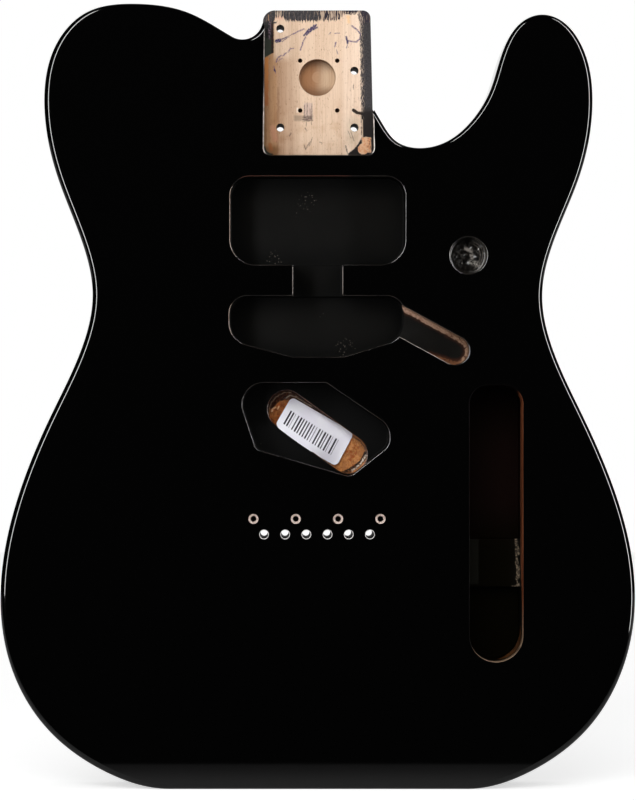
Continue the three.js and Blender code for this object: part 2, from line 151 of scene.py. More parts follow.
ARC_STEP = 4.0


# %% Curves and arcs
def heading(angle):
    """The unit vector at an angle in degrees, counted from +X towards +Z."""
    return np.array([np.cos(np.radians(angle)), np.sin(np.radians(angle))])


def smooth_line(stations, start, end):
    """Points of a cubic curve through all stations. The slope at each is solved so that the
    bend is the same on both its sides, and the two end slopes are the given headings."""
    spans = np.linalg.norm(np.diff(stations, axis=0), axis=1)
    count = len(stations)
    system = np.zeros((count, count))
    wanted = np.zeros((count, 2))
    system[0, 0] = system[-1, -1] = 1
    wanted[0], wanted[-1] = heading(start), heading(end)
    inner = np.arange(1, count - 1)
    before, after = 1 / spans[:-1], 1 / spans[1:]
    system[inner, inner - 1] = before
    system[inner, inner] = 2 * (before + after)
    system[inner, inner + 1] = after
    rise = np.diff(stations, axis=0)
    wanted[inner] = 3 * (rise[:-1] * before[:, None] ** 2 + rise[1:] * after[:, None] ** 2)
    slopes = np.linalg.solve(system, wanted)
    t = (np.arange(1, CURVE_STEPS + 1) / CURVE_STEPS)[None, :, None]
    start_points, end_points = stations[:-1, None], stations[1:, None]
    start_slopes = slopes[:-1, None] * spans[:, None, None]
    end_slopes = slopes[1:, None] * spans[:, None, None]
    points = (
        (2 * t**3 - 3 * t**2 + 1) * start_points + (t**3 - 2 * t**2 + t) * start_slopes
        + (3 * t**2 - 2 * t**3) * end_points + (t**3 - t**2) * end_slopes
    )
    return points.reshape(-1, 2)


def arc(centre, radius, start, end, step=ARC_STEP):
    """Points of an arc: the centre plus the radius along evenly spaced headings."""
    angles = np.radians(np.linspace(start, end, max(2, int(np.ceil(abs(end - start) / step))) + 1))
    return np.asarray(centre) + radius * np.stack([np.cos(angles), np.sin(angles)], 1)


def pocket_side(widths, z):
    """Distance of the pocket's side from the centre line: a straight taper from end to mouth."""
    return widths[0] + (widths[1] - widths[0]) * (z - POCKET_END) / POCKET_LENGTH


# %% Draw the body's outline
tip_height = TREBLE_SHARES[-1][1] * BODY_LENGTH
heel_treble = pocket_side(POCKET_TREBLE, tip_height)
heel_bass = POCKET_BASS[1] + HEEL_LIP
notch_centre = np.array([-heel_bass - NOTCH_RADIUS, HEEL_END - NOTCH_DROP])


def flank(shares, side, heel_side):
    """Stations of one side: from the heel's side out to the widest edge, and up the body."""
    shares = np.array(shares, float)
    x = side * (heel_side + shares[:, 0] * (BODY_WIDTH / 2 - heel_side))
    return np.stack([x, shares[:, 1] * BODY_LENGTH], 1)


treble = flank(TREBLE_SHARES, 1, heel_treble)
bass = flank(BASS_SHARES, -1, heel_bass)
notch = arc(notch_centre, NOTCH_RADIUS, 0, NOTCH_HEADING - 270)
heel_right = (POCKET_TREBLE[1] - HEEL_TREBLE_RADIUS, HEEL_END - HEEL_TREBLE_RADIUS)
heel_left = (HEEL_BASS_RADIUS - heel_bass, HEEL_END - HEEL_BASS_RADIUS)
body_outline = np.concatenate([
    treble[:1],
    smooth_line(treble, TAIL_HEADING, TIP_HEADING),
    arc(heel_right, HEEL_TREBLE_RADIUS, 0, 90),
    arc(heel_left, HEEL_BASS_RADIUS, 90, 180),
    notch,
    smooth_line(np.concatenate([notch[-1:], bass]), NOTCH_HEADING, TAIL_HEADING),
])
print("Outline of", len(body_outline), "points, box", body_outline.min(0), body_outline.max(0))

# %% [markdown]
# ## Carrying a profile round an outline
#
# A rounded edge, a rout's wall and a drilled hole are all the same kind of surface: an
# outline that is moved inwards or outwards while it travels through the thickness.
# One function makes them all as a grid, with one row for each step of the profile and one
# column for each point of the outline. The slab is such a grid, and so is every cutter.


# %% Grid solids
def without_repeats(outline):
    """The outline with points dropped that lie on the one before them."""
    gap = np.linalg.norm(outline - np.roll(outline, 1, axis=0), axis=1)
    return outline[gap > 1e-4]


def inward(outline):
    """At each point, the step that moves both its edges inwards by one millimetre: the sum of
    the edges' left normals over one plus their cosine."""
    edges = np.roll(outline, -1, axis=0) - outline
    edges /= np.linalg.norm(edges, axis=1)[:, None]
    normals = np.stack([-edges[:, 1], edges[:, 0]], 1)
    before = np.roll(normals, 1, axis=0)
    return (normals + before) / (1 + (normals * before).sum(1))[:, None]


def carried(outline, profile):
    """Rings of points: ring k is the outline moved inwards by profile[k][0] millimetres, on
    the upright plane at Y = profile[k][1]. Profiles run from the back towards the front."""
    outline = without_repeats(np.asarray(outline, float))
    profile = np.asarray(profile, float)
    flat = outline[None] + profile[:, 0, None, None] * inward(outline)[None]
    y = np.broadcast_to(profile[:, 1, None], flat.shape[:2])
    return np.stack([flat[..., 0], y, flat[..., 1]], -1)


def grid_object(name, rings, finishes, first_cap=None):
    """A closed solid from rings of points: quads join each ring to the next, and flat caps
    close the first and the last. finishes holds one material for each step between rings, and
    the first cap may have its own."""
    rows, columns = rings.shape[:2]
    k, i = np.meshgrid(np.arange(rows - 1), np.arange(columns), indexing="ij")
    j = (i + 1) % columns
    corners = [k * columns + i, k * columns + j, (k + 1) * columns + j, (k + 1) * columns + i]
    quads = np.stack(corners, -1).reshape(-1, 4).tolist()
    first = np.arange(columns)[::-1].tolist()
    last = (np.arange(columns) + (rows - 1) * columns).tolist()
    mesh = bpy.data.meshes.new(name)
    mesh.from_pydata((rings.reshape(-1, 3) * MM).tolist(), [], quads + [first, last])
    worn = [*finishes, first_cap or finishes[0], finishes[-1]]
    kinds = list(dict.fromkeys(worn))
    for kind in kinds:
        mesh.materials.append(kind)
    steps = np.array([kinds.index(finish) for finish in worn])
    numbers = np.concatenate([np.repeat(steps[:-2], columns), steps[-2:]]).astype(np.int32)
    mesh.polygons.foreach_set("material_index", numbers)
    return placed(name, mesh)


# %% [markdown]
# ## Node helpers
#
# Every finish here is a small tree of shader nodes. Written out one by one they fill pages,
# so these helpers add a node and plug its inputs in one call. A value that is a socket is
# linked, and any other value is set on the input itself. A socket knows the tree that it is
# in, so a helper takes the tree from the sockets that it is given.


# %% Short ways to add nodes
def plug(value, socket):
    """Links a socket, or sets a plain value."""
    if isinstance(value, bpy.types.NodeSocket):
        socket.id_data.links.new(value, socket)
    else:
        socket.default_value = value


def source(tree, kind, **settings):
    """One node with its settings, and nothing plugged in."""
    node = tree.nodes.new(kind)
    for key, value in settings.items():
        setattr(node, key, value)
    return node


def add_node(kind, inputs, **settings):
    """One node in the tree of the sockets that it reads. Its inputs are pairs of name or
    number and value."""
    sockets = [value for value in inputs.values() if isinstance(value, bpy.types.NodeSocket)]
    node = source(sockets[0].id_data, kind, **settings)
    for key, value in inputs.items():
        plug(value, node.inputs[key])
    return node


def maths(operation, first, second=0.0, third=0.0):
    """The result of one sum on numbers."""
    inputs = {0: first, 1: second, 2: third}
    return add_node("ShaderNodeMath", inputs, operation=operation).outputs[0]


def vectors(operation, inputs, output=0):
    """The result of one sum on vectors. Where that is a number, output is "Value"."""
    return add_node("ShaderNodeVectorMath", inputs, operation=operation).outputs[output]


def split(vector, parts="XZ"):
    """Parts of a vector. The usual two are across and up, or across and down."""
    separated = add_node("ShaderNodeSeparateXYZ", {0: vector})
    return [separated.outputs[part] for part in parts]


def fade(value, low, high):
    """A smooth step from 0 at low to 1 at high. Low may be the larger of the two."""
    inputs = {"Value": value, "From Min": low, "From Max": high, "To Min": 0.0, "To Max": 1.0}
    if low > high:
        inputs.update({"From Min": high, "From Max": low, "To Min": 1.0, "To Max": 0.0})
    node = add_node("ShaderNodeMapRange", inputs, interpolation_type="SMOOTHSTEP", clamp=False)
    return node.outputs[0]


def blend(share, first, second, mode="MIX"):
    """Two colours mixed by a share from 0, the first, to 1, the second. In mode MULTIPLY the
    second stains the first instead of covering it."""
    inputs = {0: share, 6: first, 7: second}
    return add_node("ShaderNodeMix", inputs, data_type="RGBA", blend_type=mode).outputs[2]


def noise(place, scale, detail=2.0, roughness=0.5):
    """Noise from 0 to 1 with so many bumps for each millimetre."""
    inputs = {"Vector": place, "Scale": scale, "Detail": detail, "Roughness": roughness}
    return add_node("ShaderNodeTexNoise", inputs).outputs[0]


def stretched(place, scales, shift=(0.0, 0.0, 0.0)):
    """A place with each of its directions scaled, to stretch a pattern."""
    inputs = {"Vector": place, "Location": shift, "Scale": scales}
    return add_node("ShaderNodeMapping", inputs).outputs[0]


def long_noise(place, scales, detail=2.0, roughness=0.5):
    """Noise with its own number of bumps for each millimetre along each direction."""
    return noise(stretched(place, scales), 1.0, detail, roughness)


def turned(place, degrees):
    """A place turned about the Y axis, to slant a pattern."""
    inputs = {"Vector": place, "Rotation": (0.0, np.radians(degrees), 0.0)}
    return add_node("ShaderNodeMapping", inputs).outputs[0]


# %% A finish, its gloss and its bump
GLOSS = {"specular": "Specular IOR Level", "coat": "Coat Weight", "coat_roughness": "Coat Roughness"}


def new_finish(name):
    """An empty material, its shader, and the place on the body in millimetres."""
    material = bpy.data.materials.new(name)
    material.use_nodes = True
    coordinates = source(material.node_tree, "ShaderNodeTexCoord").outputs["Object"]
    place = vectors("SCALE", {0: coordinates, "Scale": 1 / MM})
    return material, material.node_tree.nodes["Principled BSDF"], place


def dress(shader, colour, roughness, **gloss):
    """Gives the shader its colour, and sets its gloss as plain numbers on its own sockets,
    because an exported model keeps no others."""
    plug(colour, shader.inputs["Base Color"])
    shader.inputs["Roughness"].default_value = roughness
    for name, value in gloss.items():
        shader.inputs[GLOSS[name]].default_value = value


def bump(shader, height, strength, distance):
    """Turns a height from 0 to 1 into a bump of so many millimetres on the shader."""
    inputs = {"Height": height, "Strength": strength, "Distance": distance * MM}
    plug(add_node("ShaderNodeBump", inputs).outputs[0], shader.inputs["Normal"])


def grey(value):
    """An opaque grey."""
    return (value, value, value, 1.0)


# %% [markdown]
# ## Lacquer
#
# The outside is deep black lacquer, rubbed flat and buffed. It hardly has a colour of its
# own: what shows is the reflection of lamps and floor, so a plain black with a clear coat
# and a very faint ripple is closer to it than any pattern.

# %% Black lacquer
lacquer, shader, place = new_finish("black_lacquer")
dress(shader, grey(0.0009), 0.5, specular=0.0, coat=1.0, coat_roughness=0.05)
bump(shader, noise(place, 0.12), 0.15, 0.05)

# %% [markdown]
# ## Marks in their places
#
# A stain or a scratch has its place on the wood. Each is drawn as a share: a number that is
# 1 where the mark is and 0 elsewhere, with a soft edge between. The photograph's pixels name
# the places, and the share is worked out from the body's own coordinates, so a mark stays
# where it is from any side. A painted image would do the same with far more data.


# %% Colours and marks by the photograph's pixels
def tone(red, green, blue):
    """A colour as a picture shows it, from 0 to 255, turned into light: each channel's share
    of 255, to the power of 2.2."""
    return tuple((np.array([red, green, blue]) / 255) ** 2.2) + (1.0,)


def most(*shares):
    """The largest of several shares."""
    result = shares[0]
    for share in shares[1:]:
        result = maths("MAXIMUM", result, share)
    return result


def every(*shares):
    """The product of several shares: 1 only where all of them are."""
    result = shares[0]
    for share in shares[1:]:
        result = maths("MULTIPLY", result, share)
    return result


def tint(colour, share, shown, amount=1.0, mode="MIX"):
    """The colour, covered by a tone where the share is 1, as far as the amount says."""
    if amount < 1:
        share = every(share, amount)
    return blend(share, colour, tone(*shown), mode)


def darker(colour, share, shown, amount=1.0):
    """The colour, stained by a tone where the share is 1, as far as the amount says."""
    return tint(colour, share, shown, amount, "MULTIPLY")


def photo_spot(place, depth):
    """The pixel at which a place on a plane behind the front is seen: its distance from the
    camera's foot, shrunk with depth and counted in pixels."""
    spread = 1 + depth / (FRONT - CAMERA[1])
    scale = 1 / (MM_PER_PIXEL * spread)
    slide = CAMERA[[0, 2]] * (1 - 1 / spread) / MM_PER_PIXEL
    shift = (PIXEL_OF_CENTRE_LINE + slide[0], 0, PIXEL_OF_TAIL - slide[1])
    return stretched(place, (scale, 0, -scale), shift)


def wobbled(spot, scale, amount, detail=3.0):
    """A spot moved about by noise, so that an edge drawn with it comes out uneven."""
    texture = add_node("ShaderNodeTexNoise", {"Vector": spot, "Scale": scale, "Detail": detail})
    off_centre = vectors("SUBTRACT", {0: texture.outputs["Color"], 1: (0.5, 0.5, 0.5)})
    return vectors("MULTIPLY_ADD", {0: off_centre, 1: (amount,) * 3, 2: spot})


def patch(spot, left, right, top, bottom, soft=0.6):
    """1 inside a box of pixels and 0 outside, with soft edges."""
    across, down = split(spot)
    return every(
        fade(across, left - soft, left + soft), fade(across, right + soft, right - soft),
        fade(down, top - soft, top + soft), fade(down, bottom + soft, bottom - soft),
    )


def around(spot, centre):
    """Distance of a spot from a pixel."""
    return vectors("DISTANCE", {0: spot, 1: (centre[0], 0, centre[1])}, "Value")


def line_distance(spot, start, end):
    """Distance of a spot from a straight line between two pixels: its distance from the
    nearest point, which lies a clamped share of the way along."""
    run = np.array([end[0] - start[0], 0, end[1] - start[1]])
    away = vectors("SUBTRACT", {0: spot, 1: (start[0], 0, start[1])})
    onto = vectors("DOT_PRODUCT", {0: away, 1: tuple(run / (run @ run))}, "Value")
    share = maths("MINIMUM", maths("MAXIMUM", onto, 0.0), 1.0)
    nearest = vectors("SCALE", {0: tuple(run), "Scale": share})
    return vectors("DISTANCE", {0: away, 1: nearest}, "Value")


def strokes(spot, lines, soft=0.5):
    """Pen or pencil strokes. Each line is start, end and half its width, in pixels."""
    covered = 0.0
    for start, end, width in lines:
        near = fade(line_distance(spot, start, end), width + soft, width - soft)
        covered = maths("MAXIMUM", covered, near)
    return covered


def drawn(points, width):
    """Strokes of one width that join points one after the other."""
    return [(start, end, width) for start, end in zip(points[:-1], points[1:])]


# %% [markdown]
# ## Bare wood
#
# Where paint was kept out, the alder shows: pale pinkish tan with straight grain along the
# body. Grain is noise drawn out along the board, some twenty to forty times as long as it is
# wide, once broad and once fine, with short dark pores between. In the neck pocket the tone
# also steps at the glue line, because two boards meet there.


# %% Alder grain
def alder_grain(place):
    """Darkening of the grain, from 0 to 1: broad bands and fine lines, both long along Z."""
    bands = fade(long_noise(place, (0.28, 0.28, 0.012)), 0.35, 0.7)
    lines = fade(long_noise(place, (2.2, 2.2, 0.05), 3.0, 0.6), 0.42, 0.68)
    return maths("ADD", every(bands, 0.45), every(lines, 0.55))


def alder_pores(place):
    """Short dark pores: stretched noise, of which only the peaks are kept."""
    return fade(long_noise(place, (5.0, 5.0, 0.45)), 0.66, 0.74)


def wood_surface(shader, colour, grain):
    """The colour, and the roughness and bump of bare wood: grain stands a little proud."""
    dress(shader, colour, 0.6, specular=0.25)
    bump(shader, grain, 0.25, 0.08)


# %% Bare alder in bores, on walls and glue faces, and a dark copy with painted shade for narrow holes
bare_alder, shader, place = new_finish("bare_alder")
grain = alder_grain(place)
colour = blend(grain, tone(214, 178, 146), tone(176, 134, 100))
wood_surface(shader, darker(colour, alder_pores(place), (190, 170, 150)), grain)

# Bores drilled after the paint are bare alder too; this copy is dark brown: painted shade inside the narrow
# holes.
shaded_hole_wall, shader, place = new_finish("shaded_hole_wall")
grain = alder_grain(place)
wood_surface(shader, blend(grain, tone(74, 48, 28), tone(32, 19, 9)), grain)

# %% Neck pocket: the wood's own tones
POCKET_DEPTH = 15.9
pocket_alder, shader, place = new_finish("pocket_alder")
spot = photo_spot(place, POCKET_DEPTH)
drift = long_noise(spot, (0.06, 0.06, 0.015))
across, down = split(spot)
shifted = maths("MULTIPLY_ADD", drift, 5.0, maths("SUBTRACT", across, 2.5))
BOARD_TONES = [
    (266, (183, 138, 99)), (276, (187, 143, 105)), (279.5, (187, 151, 122)), (291, (199, 167, 140)),
    (302, (225, 195, 168)), (341, (231, 201, 174)), (345, (241, 214, 190)),
]
ramp = source(shader.id_data, "ShaderNodeValToRGB")
first, last = BOARD_TONES[0][0], BOARD_TONES[-1][0]
while len(ramp.color_ramp.elements) < len(BOARD_TONES):
    ramp.color_ramp.elements.new(0.5)
for element, (pixel, shown) in zip(ramp.color_ramp.elements, BOARD_TONES):
    element.position = (pixel - first) / (last - first)
    element.color = tone(*shown)
share = maths("MULTIPLY_ADD", shifted, 1 / (last - first), -first / (last - first))
plug(share, ramp.inputs[0])
grain = alder_grain(place)
fresh = every(fade(down, 64, 52), fade(across, 272, 276), fade(across, 298, 284))
wood = tint(ramp.outputs[0], fresh, (228, 200, 174), 0.9)
wood = darker(wood, grain, (222, 210, 200), 0.8)
wood = darker(wood, alder_pores(place), (170, 152, 138))
flecks = long_noise(spot, (0.9, 1, 0.35))
wood = darker(wood, fade(flecks, 0.65, 0.71), (184, 160, 144))
handled = fade(noise(spot, 0.06, 3.0, 0.6), 0.45, 0.7)
wood = darker(wood, every(handled, fade(down, 90, 130)), (240, 233, 226))

# %% Neck pocket: glue line, stains and the orange of old primer
uneven = wobbled(spot, 0.25, 3.0)
glue_line = strokes(uneven, [((278.2, 88), (277.8, 152), 0.6)], 1.2)
wood = tint(wood, glue_line, (128, 92, 66), 0.6)
pinkish = strokes(uneven, [((273, 128), (275, 139), 3.0), ((275, 17), (282, 18), 2.0)], 2.0)
wood = tint(wood, pinkish, (206, 138, 116), 0.35)
corner_brown = every(fade(down, 144, 149), fade(across, 283, 274))
edge_brown = every(patch(uneven, 260, 266.4, 100, 152, 0.8), 0.6)
wood = tint(wood, most(corner_brown, edge_brown), (122, 84, 50), 0.85)
primer = blend(fade(down, 62, 104), tone(204, 128, 66), tone(164, 96, 52))
primed = most(patch(uneven, 264.4, 268.4, 57, 106, 0.8),
              strokes(uneven, [((270, 144.5), (271, 149), 1.6)], 1.8))
wood = blend(every(primed, 0.9), wood, primer)
wood = tint(wood, patch(uneven, 347, 359, 118, 146, 6.0), (172, 152, 126), 0.45)
yellow = strokes(uneven, [((348, 17), (349, 22), 1.4)], 1.8)
wood = tint(wood, yellow, (240, 190, 124), 0.65)

# %% [markdown]
# Pen marks are straight strokes that noise makes uneven. A stroke needs only the distance of
# a spot from a line, so dozens of them cost little. They are scribbles without letters.

# %% Neck pocket: pen marks, pencil and a smear
blurred = wobbled(spot, 0.35, 1.6)
broken = fade(noise(spot, 0.9), 0.36, 0.56)
SCRIBBLE = [
    (304, 35.5), (309, 29), (306.5, 35), (311.5, 27.5), (308.5, 33), (314, 25.5), (310.5, 31.5),
    (316, 25), (313, 29.5), (317, 27.5),
]
PEN = drawn(SCRIBBLE, 0.85) + [
    ((276.6, 41), (279.6, 40.4), 1.9), ((280, 40), (287, 37), 0.6), ((282, 41.5), (289, 37), 0.4),
    ((286, 37), (293, 34), 0.3), ((346.3, 37), (347.6, 43), 1.0), ((274.6, 69.6), (275, 71), 0.9),
]
FAINT_PEN = [
    *drawn([(352, 26), (357, 29.5), (360.5, 34), (360, 38.5), (356.5, 42), (349, 41)], 0.8),
    *drawn([(293, 34), (297, 32), (304, 29)], 0.7),
    *drawn([(305.5, 37), (303, 42), (300.5, 50)], 0.7),
    *drawn([(276, 62), (278, 57.5), (281, 55.5)], 0.6),
    *drawn([(283, 56), (286, 53)], 0.7),
    *drawn([(288, 52), (290.5, 49), (293.5, 48.5)], 0.6),
    *drawn([(278, 61), (282, 58.5)], 0.4),
    ((347.6, 44), (346.6, 48), 0.4), ((335.8, 42.5), (335, 46.5), 0.8), ((329, 34.5), (330.5, 32.5), 0.4),
    ((335, 33.5), (339.5, 33), 0.4), ((336.5, 50), (338, 54), 0.4), ((274, 66), (275.5, 73), 0.5),
]
full = every(strokes(blurred, PEN), maths("MULTIPLY_ADD", broken, 0.3, 0.7))
faint = every(strokes(blurred, FAINT_PEN), maths("MULTIPLY_ADD", broken, 0.6, 0.35))
wood = tint(wood, faint, (88, 70, 108))
wood = tint(wood, full, (40, 30, 82))
PENCIL = [
    ((304.6, 105), (304.2, 118), 0.5), ((307.3, 103), (307.1, 121), 0.4),
    ((309.9, 109), (310.5, 118), 0.4), ((312, 104), (311.6, 121), 0.45),
    *drawn([(302.5, 119.5), (312, 118.6), (303, 117.2), (312, 116.6), (304, 121), (312.5, 120.4)], 0.5),
    *drawn([(304.3, 145), (305.5, 149.5), (309, 143)], 0.5),
    *drawn([(309, 146), (312.5, 138)], 0.4),
    ((306.5, 122.5), (306.3, 126), 0.4), ((311, 122.5), (311.8, 124.5), 0.4), ((305, 128), (307, 131), 0.5),
    ((289.5, 136), (291, 133), 0.6), ((351, 132), (354, 141), 0.35), ((345.5, 146), (347.6, 153.5), 0.6),
    ((348, 131), (351, 138), 0.3), ((353.5, 85), (353.3, 89), 0.5), ((320, 142), (322, 143), 0.4),
]
wood = tint(wood, patch(blurred, 304, 312.5, 103, 120, 1.0), (168, 146, 152), 0.35)
wood = tint(wood, patch(blurred, 294, 313, 115.5, 121, 1.2), (120, 102, 84), 0.55)
pencil = every(strokes(blurred, PENCIL), maths("MULTIPLY_ADD", broken, 0.6, 0.25))
wood = tint(wood, pencil, (74, 54, 52))
smear = strokes(blurred, drawn([(353.3, 110), (357, 112.7), (362, 113.6)], 1.6))
wood = tint(wood, smear, (46, 32, 20))
chip = patch(blurred, 296.5, 298.4, 107.5, 112.5, 0.7)
wood = tint(wood, chip, (248, 232, 214), 0.7)

# %% [markdown]
# Black reached the pocket's margins: brushed over the heel's end, sprayed along the treble
# side, and scratched where the neck was fitted. Scratches are the peaks of noise that is
# drawn out along two slants, one to either side of upright, so that they cross here and there.

# %% Neck pocket: where black lies along its edges
FRINGE = 22.0
FRINGE_STEPS = [(273.5, 276, -5.0), (282.5, 287.5, 4.0), (317, 320, -1.0), (337, 345, -6.5)]
bristles = long_noise(spot, (1.0, 1, 0.10), 3.0)
brushed = maths("MULTIPLY_ADD", bristles, 14.0, maths("SUBTRACT", down, 7.0 + FRINGE))
for start, end, step in FRINGE_STEPS:
    brushed = maths("MULTIPLY_ADD", fade(across, start, end), -step, brushed)
fringe = fade(brushed, 0.6, -0.6)
rough_spot = wobbled(spot, 0.5, 1.4)
across, down = split(rough_spot)
hairs = [long_noise(turned(spot, degrees), (1.7, 1, 0.14)) for degrees in (14, -16)]
lean = maths("MULTIPLY_ADD", down, -0.014, across)
torn_lean = maths("MULTIPLY_ADD", hairs[0], 7.0, maths("SUBTRACT", lean, 3.5))
FLAKES = [
    ((346, 13.4), (348, 13.4), 0.8), ((350, 14), (351.6, 14), 0.6), ((353.8, 14), (354.8, 14), 0.5),
    ((358, 14.4), (358.2, 14.6), 0.6), ((273, 22.8), (276, 22.6), 0.8),
]
blackened = most(
    fringe,
    strokes(rough_spot, FLAKES),
    every(fade(torn_lean, 359.0, 360.0), fade(down, 138.5, 137)),
    every(fade(maths("MULTIPLY_ADD", down, -0.35, across), 351.2, 353.2),
          fade(down, 24, 20), fade(bristles, 0.62, 0.54)),
)
blackened = most(
    blackened,
    every(fade(around(rough_spot, (332, 126)), 31.0, 32.2), fade(across, 347.5, 349), fade(down, 133, 136)),
    every(fade(around(spot, (272.5, 146.5)), 6.6, 7.6), fade(across, 274, 272), fade(down, 145, 147)),
)
# A dark patch by the bass wall near the heel's end is drawn into the black as well.
slanted = maths("MULTIPLY_ADD", across, 0.53, down)
left_patch = every(fade(slanted, 198.3, 197.2), fade(across, 274.3, 273.2), fade(down, 19, 21))
blackened = most(blackened, left_patch)
worn_spot = wobbled(spot, 0.3, 3.0)
bare_patch = most(patch(worn_spot, 361.8, 371.2, 137.3, 152.5, 0.6),
                  fade(around(worn_spot, (363.6, 148.8)), 5.9, 5.3))
blackened = every(blackened, maths("SUBTRACT", 1.0, bare_patch))

# %% Neck pocket: scratches and the tones of the black
scratched = most(*[fade(hair, 0.57, 0.62) for hair in hairs])
scratched = every(scratched, fade(lean, 364.5, 360.5), fade(lean, 357, 358), fade(down, 124, 112))
thinner = most(patch(spot, 275, 286, 8, 22, 1.0), patch(spot, 317, 345, 8, 24, 4.0))
pale_hairs = fade(maths("MULTIPLY_ADD", thinner, 0.06, bristles), 0.55, 0.61)
pale_hairs = every(pale_hairs, fade(down, 24, 22), maths("MULTIPLY_ADD", thinner, 0.6, 0.25))
stripes = strokes(spot, [((268.5, 15), (268.5, 20.3), 0.4), ((362.2, 120), (362.5, 137), 0.6)])
blackened = every(blackened, maths("MULTIPLY_ADD", most(scratched, pale_hairs, stripes), -0.7, 1.0))
bare_tone = blend(fade(noise(spot, 0.25), 0.42, 0.58), tone(214, 150, 108), tone(222, 176, 138))
pitted = every(fade(noise(spot, 0.8, 1.0), 0.58, 0.64), fade(across, 366, 369))
bare_tone = tint(bare_tone, pitted, (60, 36, 24))
wood = blend(bare_patch, wood, bare_tone)
black = blend(fade(noise(spot, 0.7, 3.0), 0.35, 0.65), tone(38, 35, 37), tone(62, 58, 60))
black = tint(black, fade(down, 104, 114), (30, 24, 22))
black = tint(black, every(fade(across, 318, 322), fade(down, 24, 21)), (38, 30, 42))
black = tint(black, every(fade(across, 275, 272.5), fade(down, 20, 23)), (28, 26, 25))
black = tint(black, every(fade(across, 272.3, 270.8), fade(down, 36, 40)), (50, 54, 44))
reddish = every(patch(spot, 271.3, 275, 24, 54, 0.5), fade(noise(spot, 0.4), 0.4, 0.6))
black = tint(black, reddish, (56, 26, 18))
violet = every(patch(rough_spot, 268.6, 270.8, 20, 39, 1.0), fade(noise(spot, 0.5), 0.4, 0.62))
black = tint(black, violet, (104, 84, 94))
wood = blend(blackened, wood, black)
wood_surface(shader, wood, grain)

# %% [markdown]
# A round recess in the pocket's floor was cut by a flat bit, which left faint rings. Rings are
# a sine of the distance from the bit's middle. Real grooves would be too shallow to see.

# %% Round recess in the pocket
RECESS_DEPTH = 5.0
recess_alder, shader, place = new_finish("recess_alder")
spot = photo_spot(place, POCKET_DEPTH + RECESS_DEPTH)
radius = around(wobbled(spot, 0.1, 1.0), (317.7, 77.2))
across, down = split(spot)
grain = alder_grain(place)
# The left half, the top and the bottom are painted darker: painted shade from the recess's walls.
colour = blend(fade(across, 312, 327), tone(157, 112, 76), tone(200, 170, 140))
colour = darker(colour, grain, (226, 214, 204))
colour = tint(colour, fade(down, 76, 58), (92, 58, 36), 0.8)
colour = tint(colour, fade(down, 84, 95), (116, 82, 56), 0.8)
hub = every(fade(radius, 6.5, 5.0), fade(across, 321, 316))
colour = tint(colour, hub, (186, 146, 112), 0.4)
rings = fade(maths("SINE", maths("MULTIPLY", radius, 2.2)), 0.0, 1.0)
colour = darker(colour, rings, (228, 220, 212), 0.15)
wood_surface(shader, colour, grain)

# %% [markdown]
# Round a drilled hole the lacquer broke away, and the pale layers under it show as a thin
# ring. Such rings are about a millimetre wide at most, so two tones in soft spots are enough
# for them, and for the dark walls of the string holes. One function makes all three.


# %% Pale countersinks
def mottled_finish(name, light, dark):
    """Two tones in soft spots about half a millimetre across."""
    material, shader, place = new_finish(name)
    dress(shader, blend(fade(noise(place, 1.8, 3.0), 0.3, 0.7), light, dark), 0.6)
    return material


pale_rim = mottled_finish("pale_countersink", tone(222, 204, 194), tone(150, 126, 114))
white_rim = mottled_finish("white_countersink", tone(236, 233, 232), tone(200, 196, 193))
string_wall = mottled_finish("painted_bore", tone(13, 11, 10), tone(5, 4, 4))

# %% [markdown]
# ## Paint in the routs
#
# The routs caught a thin matte coat of black that dulls to a very dark warm grey, with a few
# chips and pale specks. Their floors are painted lighter away from the walls and darker near
# them: painted light and shade. Their sanded rims are the one place where that coat is worn,
# so a rim shows as a thin lighter line, and in places the rims are painted lighter still, as
# painted highlights.


# %% Rout paint
def dull_paint(name, depth, base, lit_floor_tone, middles, specks):
    """Matte black, painted lighter in soft patches away from the walls, so that it is darker near them:
    painted light and shade. It has a few pale specks in places.
    middles are boxes of pixels with the width of their soft edges."""
    material, shader, place = new_finish(name)
    spot = photo_spot(place, depth)
    cloud = fade(noise(place, 0.08, 4.0, 0.6), 0.3, 0.75)
    lit_floor_share = most(*[patch(spot, *middle) for middle in middles])
    lit_floor_share = every(lit_floor_share, maths("MULTIPLY_ADD", cloud, 0.35, 0.65))
    colour = blend(lit_floor_share, base, lit_floor_tone)
    cells = add_node("ShaderNodeTexVoronoi", {"Vector": place, "Scale": 0.8}, feature="F1")
    fine = fade(cells.outputs["Distance"], 0.24, 0.11)
    for centre, radius in specks:
        near = fade(around(spot, centre), radius, radius * 0.5)
        colour = tint(colour, every(fine, near), (96, 90, 83))
    dress(shader, colour, 0.6, specular=0.08)
    bump(shader, noise(place, 0.8, 4.0), 0.3, 0.1)
    return material


ROUT_DEPTH, BRIDGE_DEPTH = 18.0, 17.0
PICKUP_MIDDLES = [(246, 396, 190, 250, 18), (308, 328, 268, 286, 18), (250, 388, 306, 346, 16)]
PICKUP_SPECKS = [((308, 202), 12), ((297, 214), 4), ((275, 260), 12), ((345, 349), 14), ((320, 312), 8)]
rout_paint = dull_paint("rout_paint", ROUT_DEPTH, tone(7, 7, 5), tone(16, 15, 13),
                        PICKUP_MIDDLES, PICKUP_SPECKS)
BRIDGE_MIDDLES = [(330, 386, 400, 452, 16), (254, 272, 425, 458, 8)]
BRIDGE_SPECKS = [((258, 444), 4), ((388, 436), 5)]
bridge_paint = dull_paint("bridge_rout_paint", BRIDGE_DEPTH, tone(8, 8, 7), tone(15, 15, 15),
                          BRIDGE_MIDDLES, BRIDGE_SPECKS)
